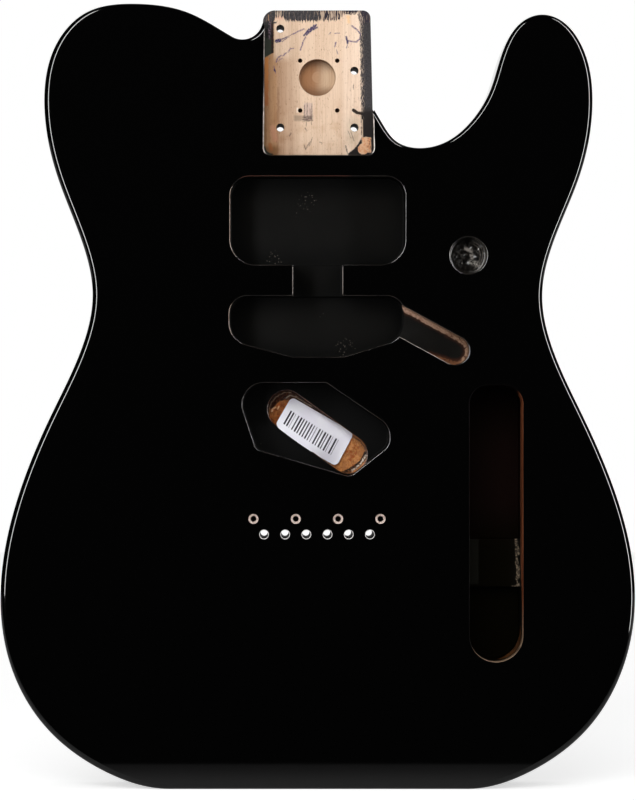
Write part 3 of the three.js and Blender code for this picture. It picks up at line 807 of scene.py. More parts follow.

# %% Rims of the routs, worn and with painted highlights, and of the pocket, with painted highlights
rim, shader, place = new_finish("worn_and_highlit_rim")
spot = photo_spot(place, 0)
wear = fade(noise(place, 0.12, 4.0, 0.6), 0.3, 0.7)
colour = blend(wear, tone(14, 13, 12), tone(44, 40, 36))
# At the pickup routs' left ends, beside the link and along the channel's upper edge, the rims are painted
# lighter: painted highlights on the eased rims.
highlit_left_ends = most(patch(spot, 224, 234, 188, 262, 4.0), patch(spot, 224, 232, 304, 336, 4.0))
colour = tint(colour, highlit_left_ends, (150, 130, 114), 0.8)
highlit_link_and_channel_rims = most(patch(spot, 289, 296, 267, 294, 1.5), patch(spot, 340, 346, 267, 294, 1.5),
                  strokes(spot, [((402, 336.5), (448, 363), 2.0)]))
colour = tint(colour, highlit_link_and_channel_rims, (150, 140, 132), 0.6)
upper_edge = patch(spot, 240, 350, 171, 179, 2.0)
colour = tint(colour, upper_edge, (80, 48, 38), 0.7)
dress(shader, colour, 0.25, coat=0.75, coat_roughness=0.15)

highlit_pocket_rim, shader, place = new_finish("highlit_pocket_rim")
across, down = split(photo_spot(place, 0))
# The lower halves of both side rims and the upper part of the bass rim are painted near white: painted
# highlights on the eased rim, broken up by noise.
sides = most(fade(across, 267, 265), fade(across, 371, 373))
worn = every(sides, fade(down, 78, 120), fade(down, 155, 150))
worn = most(worn, every(fade(across, 267, 265), fade(down, 70, 55), 0.35))
worn = every(worn, maths("MULTIPLY_ADD", fade(noise(place, 0.5, 3.0), 0.35, 0.6), 0.6, 0.4))
colour = blend(worn, tone(10, 9, 8), tone(222, 212, 204))
dress(shader, colour, 0.3, specular=0.2, coat=0.3, coat_roughness=0.15)

# %% [markdown]
# The rout for the controls is nearly as deep as the body. Paint covers its floor and the block
# across it, but the upper part of its treble wall and of its lower end is bare brown wood. One
# material does both: the depth below the front, made uneven by noise, decides which shows.
# Along the block's treble edge the paint is torn, which is drawn with strokes.

# %% Control rout: bare upper walls, black below and on the block
BLOCK_DEPTH = 27.0
CONTROL_RIGHT = 104.8
control_paint, shader, place = new_finish("control_paint")
right, y, up = split(place, "XYZ")
below = maths("SUBTRACT", y, FRONT)
reached = maths("MULTIPLY_ADD", fade(up, 88, 122), 13.5, 6.0)
edge = maths("MULTIPLY_ADD", noise(place, 0.12, 4.0), 5.0, reached)
bare = fade(maths("SUBTRACT", below, edge), 0.8, -0.8)
facing_lens = most(fade(right, CONTROL_RIGHT - 3, CONTROL_RIGHT - 1), fade(up, 74, 68))
bare = every(bare, facing_lens)
streaks = fade(long_noise(place, (0.5, 0.5, 0.03)), 0.4, 0.62)
warm = blend(streaks, tone(140, 82, 54), tone(104, 56, 34))
warm = tint(warm, fade(up, 100, 72), (150, 126, 104))
black = blend(fade(up, 120, 150), tone(14, 12, 6), tone(22, 13, 11))
black = tint(black, fade(up, 165, 200), (18, 11, 8))
spot = photo_spot(place, BLOCK_DEPTH)
torn = wobbled(spot, 0.22, 9.0)
on_block = fade(below, BLOCK_DEPTH + 0.3, BLOCK_DEPTH + 0.1)
# A lighter band on the block's bass side is painted light from the right soft box.
lit_left_band = every(patch(wobbled(spot, 0.4, 2.0), 468, 478.5, 539, 584, 1.0), 0.8)
black = tint(black, every(on_block, lit_left_band), (26, 26, 22))
TORN = [
    *drawn([(517.6, 533), (515.8, 543), (518.2, 551), (515.8, 559), (518.2, 566), (517, 586)], 1.3),
    *drawn([(512, 585.6), (518.5, 585.8)], 1.0),
]
torn_off = every(strokes(torn, TORN, 0.6), fade(below, 25.5, 26.5), on_block)
splinters = maths("MULTIPLY_ADD", fade(noise(spot, 0.5, 3.0), 0.42, 0.6), 0.8, 0.2)
colour = tint(black, every(torn_off, splinters), (112, 98, 82))
dress(shader, blend(bare, colour, warm), 0.5, specular=0.12)
bump(shader, noise(place, 0.7, 3.0), 0.3, 0.15)

# %% [markdown]
# The slanted wiring channel is painted too, except for a strip of wood under its upper edge.
# The strip lies where the distance from the channel's axis passes a limit, so it follows the
# edge and runs on round the far end. Level is the height above the axis, and forth is the
# way along it, counted from that end.

# %% Wiring channel: a strip of bare wood under its upper edge
CHANNEL_AXIS = ((34.0, 243.8), (70.4, 223.9))
STRIP_FROM = 5.0
channel_paint, shader, place = new_finish("channel_paint")
flat = wobbled(wobbled(stretched(place, (1, 0, 1)), 0.12, 2.0), 0.7, 1.8)
away = line_distance(flat, *CHANNEL_AXIS)
x, z = split(flat)
slope = np.subtract(*CHANNEL_AXIS[::-1])
slope /= np.linalg.norm(slope)
(end_x, end_z), (along_x, along_z) = CHANNEL_AXIS[1], slope
level = maths("MULTIPLY_ADD", x, -along_z, maths("MULTIPLY", z, along_x))
level = maths("SUBTRACT", level, end_z * along_x - end_x * along_z)
forth = maths("MULTIPLY_ADD", x, along_x, maths("MULTIPLY", z, along_z))
forth = maths("SUBTRACT", forth, end_x * along_x + end_z * along_z)
thinning = every(fade(level, 1, -1), 0.2, maths("MINIMUM", forth, 0.0))
away = maths("ADD", away, thinning)
kept_side = most(fade(level, 0, 2), fade(forth, -13, -10))
strip = every(fade(away, STRIP_FROM, STRIP_FROM + 0.5), kept_side)
brown_edge = every(fade(away, STRIP_FROM - 1.6, STRIP_FROM - 0.2), kept_side)
cloud = fade(noise(place, 0.05, 4.0, 0.6), 0.35, 0.7)
colour = blend(cloud, tone(18, 17, 15), tone(23, 22, 19))
colour = tint(colour, brown_edge, (52, 30, 20))
bare = blend(fade(forth, -32, 0), tone(198, 162, 140), tone(172, 140, 116))
bare = tint(bare, fade(level, -1, -5), (112, 76, 52))
bare = darker(bare, fade(noise(place, 1.2, 3.0), 0.4, 0.7), (204, 184, 172))
speckled = every(fade(noise(place, 0.9), 0.54, 0.6), fade(forth, -10, -2))
bare = tint(bare, speckled, (62, 30, 20))
colour = blend(strip, colour, bare)
dress(shader, colour, 0.6, specular=0.12)
bump(shader, noise(place, 0.8, 4.0), 0.3, 0.1)

# %% [markdown]
# In the shallow hole beside the neck, paint ran together and set in lumps. The lumps are
# made with the cutters. Here the paint gets lighter arcs that are a sine of the distance from
# the middle, a painted highlight near the middle that is a stroke, and painted glints that
# noise breaks up.

# %% Paint that set in the blind hole
LUMP_DEPTH = 8
set_paint, shader, place = new_finish("set_paint")
spot = wobbled(photo_spot(place, LUMP_DEPTH), 0.12, 3.0)
radius = around(spot, (468.6, 255.0))
across, down = split(spot)
mottled = fade(noise(place, 1.1, 4.0, 0.65), 0.44, 0.68)
colour = blend(mottled, tone(9, 8, 8), tone(50, 47, 43))
waves = fade(maths("SINE", maths("MULTIPLY", radius, 2.3)), 0.2, 0.9)
arcs = every(waves, fade(across, 470, 478), fade(radius, 9, 11), fade(radius, 19.6, 18.2))
colour = tint(colour, arcs, (92, 86, 80), 0.8)
# Near the middle a painted highlight, and lower right painted glints, as on glossy lumps.
highlight_curl = strokes(spot, drawn([(465.5, 248.5), (471, 250.5), (472.3, 257.5)], 1.6), 1.0)
highlight_curl = every(highlight_curl, fade(noise(place, 0.9, 3.0), 0.34, 0.5))
colour = tint(colour, highlight_curl, (118, 112, 106))
painted_glints = strokes(spot, drawn([(471.5, 262), (478, 264.5)], 2.2), 2.0)
painted_glints = every(painted_glints, fade(noise(place, 1.8), 0.48, 0.58))
colour = tint(colour, painted_glints, (160, 154, 146))
dress(shader, colour, 0.3, coat=0.3)
bump(shader, noise(place, 1.4, 4.0, 0.6), 0.4, 0.25)

# %% [markdown]
# The slot inside the bridge rout is bare wood under a thick brown sealer that gathered in
# drops and runs. Two browns in patches and a strong bump under a clear coat give it a broken
# shine. Strokes with tones of their own paint shade along its upper-left wall and round its
# ends, painted highlights and glints on its rim and floor, and a pinkish tan edge at its
# lower end. Its wall is a darker copy of its floor: painted shade.

# %% Slot: bare wood under a thick brown sealer
SLOT_DEPTH = 25.0
# Strokes, with how far noise breaks them and a tone. The first five are painted shade along the upper-left
# wall, beside the label and round both ends; the sixth is the pinkish tan edge at the lower right end; the
# rest are painted highlights and glints.
SLOT_SHADE_GLINT_AND_TIP_STROKES = [
    (drawn([(269.5, 404), (275.5, 398), (284, 394.5), (293, 396), (300, 401)], 5.0), 0.2, (44, 22, 12)),
    (drawn([(268.6, 420), (268.4, 411), (271, 402)], 1.2), 0.0, (52, 26, 14)),
    (drawn([(300, 400), (313, 407), (327, 416.5), (341, 426.5), (350, 433)], 2.2), 0.2, (40, 24, 18)),
    (drawn([(343.5, 473), (350, 470), (357, 466), (362.5, 460.5), (366, 453)], 2.2), 0.3, (32, 20, 12)),
    (drawn([(352, 436), (360, 441), (365, 447.5), (367, 455)], 0.6), 0.2, (70, 42, 32)),
    (drawn([(350, 474.2), (356, 473.6), (362, 469), (366.6, 461)], 1.3), 0.2, (184, 134, 118)),
    (drawn([(268.6, 416), (269, 410), (271, 403), (276, 396.8), (284, 392.6), (291, 392.4)], 0.4),
     0.6, (150, 126, 104)),
    (drawn([(286, 398), (290, 395.6), (296, 397), (303, 401.5), (312, 406.6)], 0.5), 0.6, (136, 120, 104)),
    (drawn([(272, 411), (273.5, 408), (275.5, 407.5)], 0.8) + drawn([(277.5, 409), (279, 406.4)], 0.6),
     0.4, (206, 160, 122)),
    (drawn([(352, 470.6), (357, 467), (361.6, 462.6), (365.6, 455.5)], 0.9), 0.9, (224, 206, 188)),
]


def sealed(name, dark, light, red, gloss, shade_glint_and_tip_strokes=()):
    """Wood under a thick brown coat that set in drops: two browns in soft patches, reddish
    flecks, and a clear coat over a strong bump that breaks the lamps' reflections up.
    Strokes are lines in pixels, how far noise breaks them, and a tone: painted shade,
    painted highlights and glints, and plain marks."""
    material, shader, place = new_finish(name)
    x, z = split(place)
    patches = noise(stretched(place, (1, 1, 0.7)), 0.32, 4.0, 0.6)
    brighter = fade(x, -10, 8)
    lighter = maths("MULTIPLY_ADD", fade(patches, 0.38, 0.62), 0.4, every(brighter, 0.6))
    shown = blend(lighter, dark, light)
    fine = long_noise(place, (1.6, 1.6, 0.8), 4.0, 0.65)
    shown = darker(shown, fade(fine, 0.46, 0.68), (206, 190, 172))
    shown = blend(fade(noise(place, 0.6, 3.0), 0.56, 0.64), shown, red)
    spot = wobbled(photo_spot(place, SLOT_DEPTH), 0.35, 2.2)
    lumps = fade(noise(spot, 0.5, 3.0), 0.38, 0.56)
    for lines, broken_up, colour in shade_glint_and_tip_strokes:
        kept = maths("MULTIPLY_ADD", lumps, broken_up, 1 - broken_up)
        shown = tint(shown, every(strokes(spot, lines), kept), colour)
    dress(shader, shown, 0.5, specular=0.2, coat=gloss, coat_roughness=0.12)
    bump(shader, noise(place, 0.55, 4.0, 0.6), 1.0, 0.9)
    return material


slot_floor = sealed("sealed_alder", tone(112, 58, 22), tone(190, 126, 72), tone(150, 78, 34), 0.5,
                    SLOT_SHADE_GLINT_AND_TIP_STROKES)
# The wall is a darker copy of the floor: painted shade on the steep wall.
shaded_slot_wall = sealed("shaded_sealed_slot_wall", tone(38, 18, 9), tone(92, 58, 34), tone(60, 20, 10), 1.0)

# %% [markdown]
# A stock label lies in the slot. Its bars are generic: they are evenly spaced, and white noise
# gives each a thickness of its own, so they spell nothing. They follow the sheet's own map,
# because they have to curl with the paper.

# %% Label paper with generic bars
BAR_COUNT, BAR_ROW, BAR_SPAN, BAR_EDGE = 19, (0.36, 0.81), (0.055, 0.865), 0.004
label_paper, shader, place = new_finish("label_paper")
sheet = source(shader.id_data, "ShaderNodeUVMap", uv_map="sheet").outputs[0]
along, over = split(sheet, "XY")
period = maths("MULTIPLY", along, BAR_COUNT / (BAR_SPAN[1] - BAR_SPAN[0]))
number = maths("FLOOR", period)
pick = add_node("ShaderNodeTexWhiteNoise", {"W": number}, noise_dimensions="1D").outputs["Value"]
thick = maths("MULTIPLY_ADD", pick, 0.5, 0.12)
in_block = every(
    fade(along, BAR_SPAN[0] - BAR_EDGE, BAR_SPAN[0] + BAR_EDGE),
    fade(along, BAR_SPAN[1] + BAR_EDGE, BAR_SPAN[1] - BAR_EDGE),
    fade(over, BAR_ROW[0] - BAR_EDGE, BAR_ROW[0] + BAR_EDGE),
    fade(over, BAR_ROW[1] + BAR_EDGE, BAR_ROW[1] - BAR_EDGE),
)
bars = every(maths("LESS_THAN", maths("FRACT", period), thick), in_block)
paper = blend(fade(noise(place, 0.12), 0.35, 0.65), tone(234, 233, 240), tone(226, 223, 234))
dress(shader, blend(bars, paper, tone(24, 22, 34)), 0.45)
bump(shader, noise(place, 1.5), 0.1, 0.05)

# %% [markdown]
# ## The slab
#
# The edge is rounded with a three millimetre cutter on both sides. Ten steps to a quarter
# round keep the highlight even. The slab is made whole, cut as the real one is, and only
# then parted at the glue lines, so that the boards' surfaces run on into each other.


# %% Quarter rounds and the slab
def quarter(radius, start, end, steps):
    """Across and along values of a quarter round: one minus sine, and one minus cosine, of
    the angle from the flat face, each times the radius."""
    angles = np.radians(np.linspace(start, end, steps + 1))
    return np.stack([radius * (1 - np.sin(angles)), radius * (1 - np.cos(angles))], 1)


EDGE_STEPS = 10
front_round = quarter(EDGE_RADIUS, 90, 0, EDGE_STEPS) + (0, FRONT)
back_round = quarter(EDGE_RADIUS, 0, 90, EDGE_STEPS) * (1, -1) + (0, BACK)
slab_profile = np.concatenate([back_round, front_round])
slab = grid_object("slab", carried(body_outline, slab_profile), [lacquer] * (len(slab_profile) - 1))
print("Slab of", len(slab.data.polygons), "faces")

# %% [markdown]
# ## Cutters
#
# A rout is a pattern guided cut: an outline with corners as round as the bit, straight walls
# and a flat floor. Its top edge is broken with sandpaper and its floor's corner is filled by
# paint. The cutter is the same outline carried up a profile: floor, small round, wall, and a
# small flare where it leaves the face, which eases the rim when it is cut from the slab.


# %% Outlines of routs
def rectangle(left, right, low, high):
    """The corners of a rectangle, counterclockwise from the lower left."""
    return np.array([(left, low), (right, low), (right, high), (left, high)], float)


def rounded_polygon(corners, radii):
    """A polygon, counterclockwise, with each corner replaced by an arc that touches both its
    sides. An arc takes up at most half of either side."""
    corners = np.asarray(corners, float)
    pieces = []
    for i, corner in enumerate(corners):
        if radii[i] == 0:
            pieces.append(corner[None])
            continue
        before, after = corners[i - 1] - corner, corners[(i + 1) % len(corners)] - corner
        sides = np.linalg.norm(before), np.linalg.norm(after)
        half = np.arccos(before @ after / (sides[0] * sides[1])) / 2
        reach = min(radii[i] / np.tan(half), sides[0] / 2, sides[1] / 2)
        radius = reach * np.tan(half)
        before, after = before / sides[0], after / sides[1]
        middle = (before + after) / np.linalg.norm(before + after)
        centre = corner + middle * radius / np.sin(half)
        start, end = corner + before * reach - centre, corner + after * reach - centre
        angle = np.degrees(np.arctan2(start[1], start[0]))
        turn = np.degrees(np.arctan2(start[0] * end[1] - start[1] * end[0], start @ end))
        pieces.append(arc(centre, radius, angle, angle + turn))
    return np.concatenate(pieces)


def obround(start, end, radius):
    """A slot with round ends: two half circles about its end points."""
    along = np.degrees(np.arctan2(*(np.asarray(end) - start)[::-1]))
    halves = [arc(end, radius, along - 90, along + 90), arc(start, radius, along + 90, along + 270)]
    return np.concatenate(halves)


def circle(x, z, radius, step=8.0):
    """A full circle without its closing point."""
    return arc((x, z), radius, 0, 360, step)[:-1]


# %% Cutters from outlines
cutters = []
RIM, RIM_INSET, RIM_STOP = 0.5, 0.9, 12
FLOOR_ROUND = 0.8
ROUND_STEPS = 5


def rout(name, outline, depth, finishes, ease=RIM, floor=FLOOR_ROUND, top=FRONT):
    """Adds a cutter that ends depth millimetres below the front and rises above the face at
    Y = top. finishes are those of floor, wall and rim. The rim's flare stops a little short of
    flat, so that it crosses the face cleanly."""
    down = FRONT + depth
    floor_rows = quarter(floor, 0, 90, ROUND_STEPS) * (1, -1) + (0, down) if floor else [(0, down)]
    rim_rows = quarter(ease, 90, RIM_STOP, ROUND_STEPS) * (-1, 1) + (0, top) if ease else [(0, top)]
    above = [(rim_rows[-1][0], top - OVERRUN)]
    # The whole profile moves in by nearly the rim's width, so that the rim ends at the outline.
    profile = np.concatenate([floor_rows, rim_rows, above]) + (RIM_INSET * ease, 0)
    kinds = [finishes[0]] * (len(floor_rows) - 1) + [finishes[1]] + [finishes[2]] * len(rim_rows)
    cutters.append(grid_object(name, carried(outline, profile), kinds, finishes[0]))


def bore(name, start, end, radius, finish, sides=40):
    """Adds a straight bore between two points: circles square to the line that joins them,
    counterclockwise as seen from its far end."""
    start, end = np.asarray(start, float), np.asarray(end, float)
    along = (end - start) / np.linalg.norm(end - start)
    side = np.cross(along, (0, 0, 1) if abs(along[2]) < 0.9 else (0, 1, 0))
    side /= np.linalg.norm(side)
    angles = np.linspace(0, 2 * np.pi, sides, endpoint=False)[:, None]
    ring = radius * (np.cos(angles) * side + np.sin(angles) * np.cross(along, side))
    cutters.append(grid_object(name, np.stack([start + ring, end + ring]), [finish]))


# %% [markdown]
# The neck sits in a pocket whose sides taper by about a degree and whose mouth is open at the
# heel. In its floor are four bolt holes, the round recess and four small fixture holes. Each
# is a cutter that starts at the floor instead of at the front.

# %% Neck pocket with its holes
POCKET_CORNER, POCKET_EASE, POCKET_SPREAD = 3.8, 0.7, 0.4
LIP_RELIEF, TIP_RELIEF = 3.8, 2.2
lip_top = notch_centre[1] - LIP_RELIEF
lip_x = pocket_side(POCKET_BASS, lip_top)
tip_top = tip_height - TIP_RELIEF
tip_x = pocket_side(POCKET_TREBLE, tip_top)
flare_out = HEEL_LIP + OVERRUN
pocket_outline = rounded_polygon(
    [
        (-POCKET_BASS[0], POCKET_END), (POCKET_TREBLE[0], POCKET_END), (tip_x, tip_top),
        (tip_x + flare_out, tip_top + flare_out), (tip_x + flare_out, HEEL_END + OVERRUN),
        (-lip_x - flare_out, HEEL_END + OVERRUN), (-lip_x - flare_out, lip_top + flare_out),
        (-lip_x, lip_top),
    ],
    [POCKET_CORNER] * 2 + [0] * 6,
)
pocket_outline = pocket_outline - POCKET_SPREAD * inward(pocket_outline)
finishes = [pocket_alder, rout_paint, highlit_pocket_rim]
rout("pocket", pocket_outline, POCKET_DEPTH, finishes, ease=POCKET_EASE, floor=0)
pocket_floor = FRONT + POCKET_DEPTH
BOLT_ACROSS, BOLT_ALONG, BOLT_RISE, BOLT_TREBLE_STEP, BOLT_RADIUS = 38.1, 50.8, 15.2, 29.2, 2.1
bolt_row = POCKET_END + BOLT_RISE
bolts = [(-1, 0), (1, 0), (-1, BOLT_ALONG), (1, BOLT_TREBLE_STEP)]
for number, (side, up) in enumerate(bolts):
    spot = circle(side * BOLT_ACROSS / 2, bolt_row + up, BOLT_RADIUS)
    depth = BACK - FRONT + OVERRUN
    rout(f"bolt_{number}", spot, depth, [shaded_hole_wall] * 3, ease=0.1, floor=0, top=pocket_floor)
RECESS_RISE, RECESS_RADIUS = 40.9, 9.5
recess = circle(0, POCKET_END + RECESS_RISE, RECESS_RADIUS, 4)
finishes = [recess_alder] * 3
rout("recess", recess, POCKET_DEPTH + RECESS_DEPTH, finishes, ease=0.3, floor=0.6, top=pocket_floor)
FIXTURE_ACROSS, FIXTURE_ALONG, FIXTURE_RISE, FIXTURE_SHIFT = 19.05, 25.6, 24.0, 0.7
FIXTURE_RADIUS, FIXTURE_DEPTH = 1.15, 8.0
for up in (0, 1):
    for side in (-1, 1):
        x = FIXTURE_SHIFT + side * FIXTURE_ACROSS / 2
        z = POCKET_END + FIXTURE_RISE + up * FIXTURE_ALONG
        spot = circle(x, z, FIXTURE_RADIUS, 12)
        depth = POCKET_DEPTH + FIXTURE_DEPTH
        name = f"fixture_{up}_{side + 1}"
        rout(name, spot, depth, [shaded_hole_wall] * 3, ease=0, floor=0, top=pocket_floor)
print("Pocket cutters", len(cutters))

# %% [markdown]
# Two pickup routs lie one below the other, joined by a shallower link for the wires. The lower
# edge of the second slants up towards both its ends. The wiring channel, a slot with round
# ends, runs from it towards the controls.

# %% Pickup routs
PAINTED = [rout_paint, rout_paint, rim]
NECK_ROUT_TOP = POCKET_END - 10.2
NECK_ROUT_WIDTH, NECK_ROUT_LENGTH, NECK_ROUT_RADII = 90.2, 46.0, (13.2, 13.2, 10.3, 10.3)
LINK_TOP = NECK_ROUT_TOP - NECK_ROUT_LENGTH
LINK_WIDTH, LINK_LENGTH, LINK_DEPTH = 26.0, 15.0, 15.0
half = NECK_ROUT_WIDTH / 2
neck_rout = rounded_polygon(rectangle(-half, half, LINK_TOP, NECK_ROUT_TOP), NECK_ROUT_RADII)
rout("neck_rout", neck_rout, ROUT_DEPTH, PAINTED)
MIDDLE_TOP = LINK_TOP - LINK_LENGTH
half = LINK_WIDTH / 2
link_outline = rectangle(-half, half, MIDDLE_TOP - OVERRUN, LINK_TOP + OVERRUN)
rout("link_channel", link_outline, LINK_DEPTH, PAINTED)
MIDDLE_BASS, MIDDLE_TREBLE, MIDDLE_LENGTH, MIDDLE_FLAT = 45.5, 44.7, 32, 13.2
BASS_SLANT, TREBLE_SLANT, MIDDLE_RADII = 8.6, 9.5, (2, 2, 12, 9.5, 9.5, 12)
low = MIDDLE_TOP - MIDDLE_LENGTH
middle_outline = rounded_polygon(
    [
        (-MIDDLE_FLAT, low), (MIDDLE_FLAT, low), (MIDDLE_TREBLE, low + TREBLE_SLANT),
        (MIDDLE_TREBLE, MIDDLE_TOP), (-MIDDLE_BASS, MIDDLE_TOP), (-MIDDLE_BASS, low + BASS_SLANT),
    ],
    MIDDLE_RADII,
)
rout("middle_rout", middle_outline, ROUT_DEPTH, PAINTED)

# %% Wiring channel
LAST_SEAM = 0.383 * BODY_WIDTH / 2


def treble_place(share):
    """X of a share of the treble outer board's width, from its glue line."""
    return LAST_SEAM + share * (BODY_WIDTH / 2 - LAST_SEAM)


CHANNEL_WIDTH, CHANNEL_DEPTH, CHANNEL_RUN, CHANNEL_SLOPE = 15.6, 15.0, 41.5, 28.6
CHANNEL_SHARE, CHANNEL_DROP = 0.079, 28.2
channel_end = np.array([treble_place(CHANNEL_SHARE), MIDDLE_TOP - CHANNEL_DROP])
channel_start = channel_end + CHANNEL_RUN * heading(180 - CHANNEL_SLOPE)
channel_outline = obround(channel_start, channel_end, CHANNEL_WIDTH / 2)
rout("wiring_channel", channel_outline, CHANNEL_DEPTH, [channel_paint, channel_paint, rim])

# %% [markdown]
# The rout under the bridge has six sides, kept as shares of its width and height, so that it
# can grow or shrink as one. A deeper slot with round ends is cut into its floor on a slant.

# %% Bridge rout and its slot
STRING_ROW = 130.1
BRIDGE_LOW, BRIDGE_HEIGHT, BRIDGE_WIDTH, BRIDGE_LEAN = STRING_ROW + 28.8, 49.0, 80.3, 3.15
BRIDGE_SHARES = np.array([(0, 1), (0.597, 1), (1, 0.549), (1, 0.329), (0.745, 0), (0.143, 0.29)])
BRIDGE_RADII = (4.8, 4.8, 8, 11.5, 2, 11.5)
bridge_corners = (BRIDGE_SHARES - (0.5, 0)) * (BRIDGE_WIDTH, BRIDGE_HEIGHT)
bridge_corners += (-BRIDGE_LEAN, BRIDGE_LOW)
bridge_outline = rounded_polygon(bridge_corners[::-1], BRIDGE_RADII)
rout("bridge_rout", bridge_outline, BRIDGE_DEPTH, [bridge_paint, bridge_paint, rim])
SLOT_RUN, SLOT_SLOPE, SLOT_RADIUS, SLOT_RISE = 39.2, 36.0, 10.1, 52.2
slot_centre = np.array([0, STRING_ROW + SLOT_RISE])
half_run = heading(-SLOT_SLOPE) * SLOT_RUN / 2
slot_outline = obround(slot_centre - half_run, slot_centre + half_run, SLOT_RADIUS)
slot_top = FRONT + BRIDGE_DEPTH
finishes = [slot_floor, shaded_slot_wall, shaded_slot_wall]
rout("slot", slot_outline, SLOT_DEPTH, finishes, ease=0.4, floor=0.4, top=slot_top)

# %% [markdown]
# The strings come up through six holes, each with a wider seat for its ferrule at the back.
# Above them are four holes for the bridge's screws. Every hole has a small cone at its mouth,
# which is part of the cutter, so that cone and wall can have finishes of their own.

# %% String holes, ferrule seats and bridge screws
STRING_RIM, SCREW_RIM, RIM_STEEPNESS, ROW_SHIFT, DRILL_TAPER = 2.46, 2.55, 0.67, -0.4, 0.35
STRING_PITCH, STRING_RADIUS, FERRULE_RADIUS, FERRULE_DEPTH = 10.8, 2.16, 4.75, 11.0
SCREW_PITCH, SCREW_RADIUS, SCREW_DEPTH, SCREW_RISE = 21.6, 1.5, 20.0, 7.9


def countersink(name, x, z, radius, rim_radius, depth, wall, cone):
    """Adds a hole that narrows a little with depth, as a drill leaves it, with a cone at its
    mouth where the lacquer broke off."""
    spot = circle(x, z, radius, 12)
    slope = rim_radius - radius
    rim_end = FRONT + slope * RIM_STEEPNESS
    wall_rows = [(DRILL_TAPER, FRONT + depth), (0, rim_end)]
    profile = [*wall_rows, (-slope, FRONT), (-slope, FRONT - OVERRUN)]
    cutters.append(grid_object(name, carried(spot, profile), [wall, cone, cone]))


for number in range(6):
    x = (number - 2.5) * STRING_PITCH + ROW_SHIFT
    through = BACK - FRONT - FERRULE_DEPTH + OVERRUN
    countersink(f"string_{number}", x, STRING_ROW, STRING_RADIUS, STRING_RIM, through,
                string_wall, white_rim)
    seat_end, outside = (x, BACK - FERRULE_DEPTH, STRING_ROW), (x, BACK + OVERRUN, STRING_ROW)
    bore(f"ferrule_seat_{number}", seat_end, outside, FERRULE_RADIUS, bare_alder)
for number in range(4):
    x, z = (number - 1.5) * SCREW_PITCH + ROW_SHIFT, STRING_ROW + SCREW_RISE
    countersink(f"screw_{number}", x, z, SCREW_RADIUS, SCREW_RIM, SCREW_DEPTH, shaded_hole_wall, pale_rim)

# %% [markdown]
# The control rout is one long slot with a block left standing in it: a cutter over its whole
# length that stops at the block, and two deeper ones above and below. The jack, the wires and
# the strap buttons have plain bores.

# %% Control rout with its block
CONTROL_X = treble_place(0.29)
CONTROL_BOTTOM, CONTROL_LENGTH, CONTROL_WIDTH, CONTROL_DEPTH = 64.8, 141.8, 27.6, 38.0
CONTROL_CORNER, CONTROL_EASE, CONTROL_ROUND = 10, 0.15, 1.0
CONTROL_PAINTED = [control_paint] * 3
BLOCK_RISE, BLOCK_LENGTH = 37.5, 24.6
half = CONTROL_WIDTH / 2
control_top = CONTROL_BOTTOM + CONTROL_LENGTH
left, right = CONTROL_X - half, CONTROL_X + half
lower_radii, upper_radii = [half, half], [CONTROL_CORNER, CONTROL_CORNER]
whole = rectangle(left, right, CONTROL_BOTTOM, control_top)
control_outline = rounded_polygon(whole, lower_radii + upper_radii)
rout("control_rout", control_outline, BLOCK_DEPTH, CONTROL_PAINTED, ease=CONTROL_EASE, floor=0)
block_low = CONTROL_BOTTOM + BLOCK_RISE
block_high = block_low + BLOCK_LENGTH
block_top = FRONT + BLOCK_DEPTH
DEEP_PARTS = [
    ("control_upper", block_high, control_top, [0, 0] + upper_radii),
    ("control_lower", CONTROL_BOTTOM, block_low, lower_radii + [0, 0]),
]
for name, low, high, radii in DEEP_PARTS:
    outline = rounded_polygon(rectangle(left, right, low, high), radii)
    rout(name, outline, CONTROL_DEPTH, CONTROL_PAINTED, ease=0, floor=CONTROL_ROUND, top=block_top)

# %% Jack bore, wire tunnels and strap holes
JACK_RADIUS, JACK_SLOPE = 11.1, 30.0
jack_inner = np.array([CONTROL_X, 0, CONTROL_BOTTOM + half])
jack_way = heading(-JACK_SLOPE)
jack_outer = jack_inner + BODY_WIDTH / 2 * np.array([jack_way[0], 0, jack_way[1]])
bore("jack_bore", jack_inner, jack_outer, JACK_RADIUS, shaded_hole_wall, sides=72)
TUNNEL_RADIUS, TUNNEL_Y, TUNNEL_DROP = 3.6, FRONT + 10.5, 10
upper_start = (channel_end[0], TUNNEL_Y, channel_end[1])
upper_end = (CONTROL_X, TUNNEL_Y, control_top - TUNNEL_DROP)
bore("upper_tunnel", upper_start, upper_end, TUNNEL_RADIUS, rout_paint)
lower_start = (bridge_corners[2, 0] / 2, TUNNEL_Y, bridge_corners[2, 1])
lower_end = (CONTROL_X, TUNNEL_Y, bridge_corners[2, 1])
bore("lower_tunnel", lower_start, lower_end, TUNNEL_RADIUS, rout_paint)
STRAP_RADIUS, STRAP_DEPTH, STRAP_X = 1.6, 24.0, -0.2531 * BODY_WIDTH
strap_top = (STRAP_X, 0, BODY_LENGTH + OVERRUN)
bore("strap_shoulder", (STRAP_X, 0, BODY_LENGTH - STRAP_DEPTH), strap_top, STRAP_RADIUS, bare_alder)
bore("strap_tail", (0, 0, STRAP_DEPTH), (0, 0, -OVERRUN), STRAP_RADIUS, bare_alder)

# %% [markdown]
# The blind hole beside the neck pocket has a floor of lumps, where its paint set. The floor is
# part of the cutter: rings that shrink towards the middle, with a height at each point.

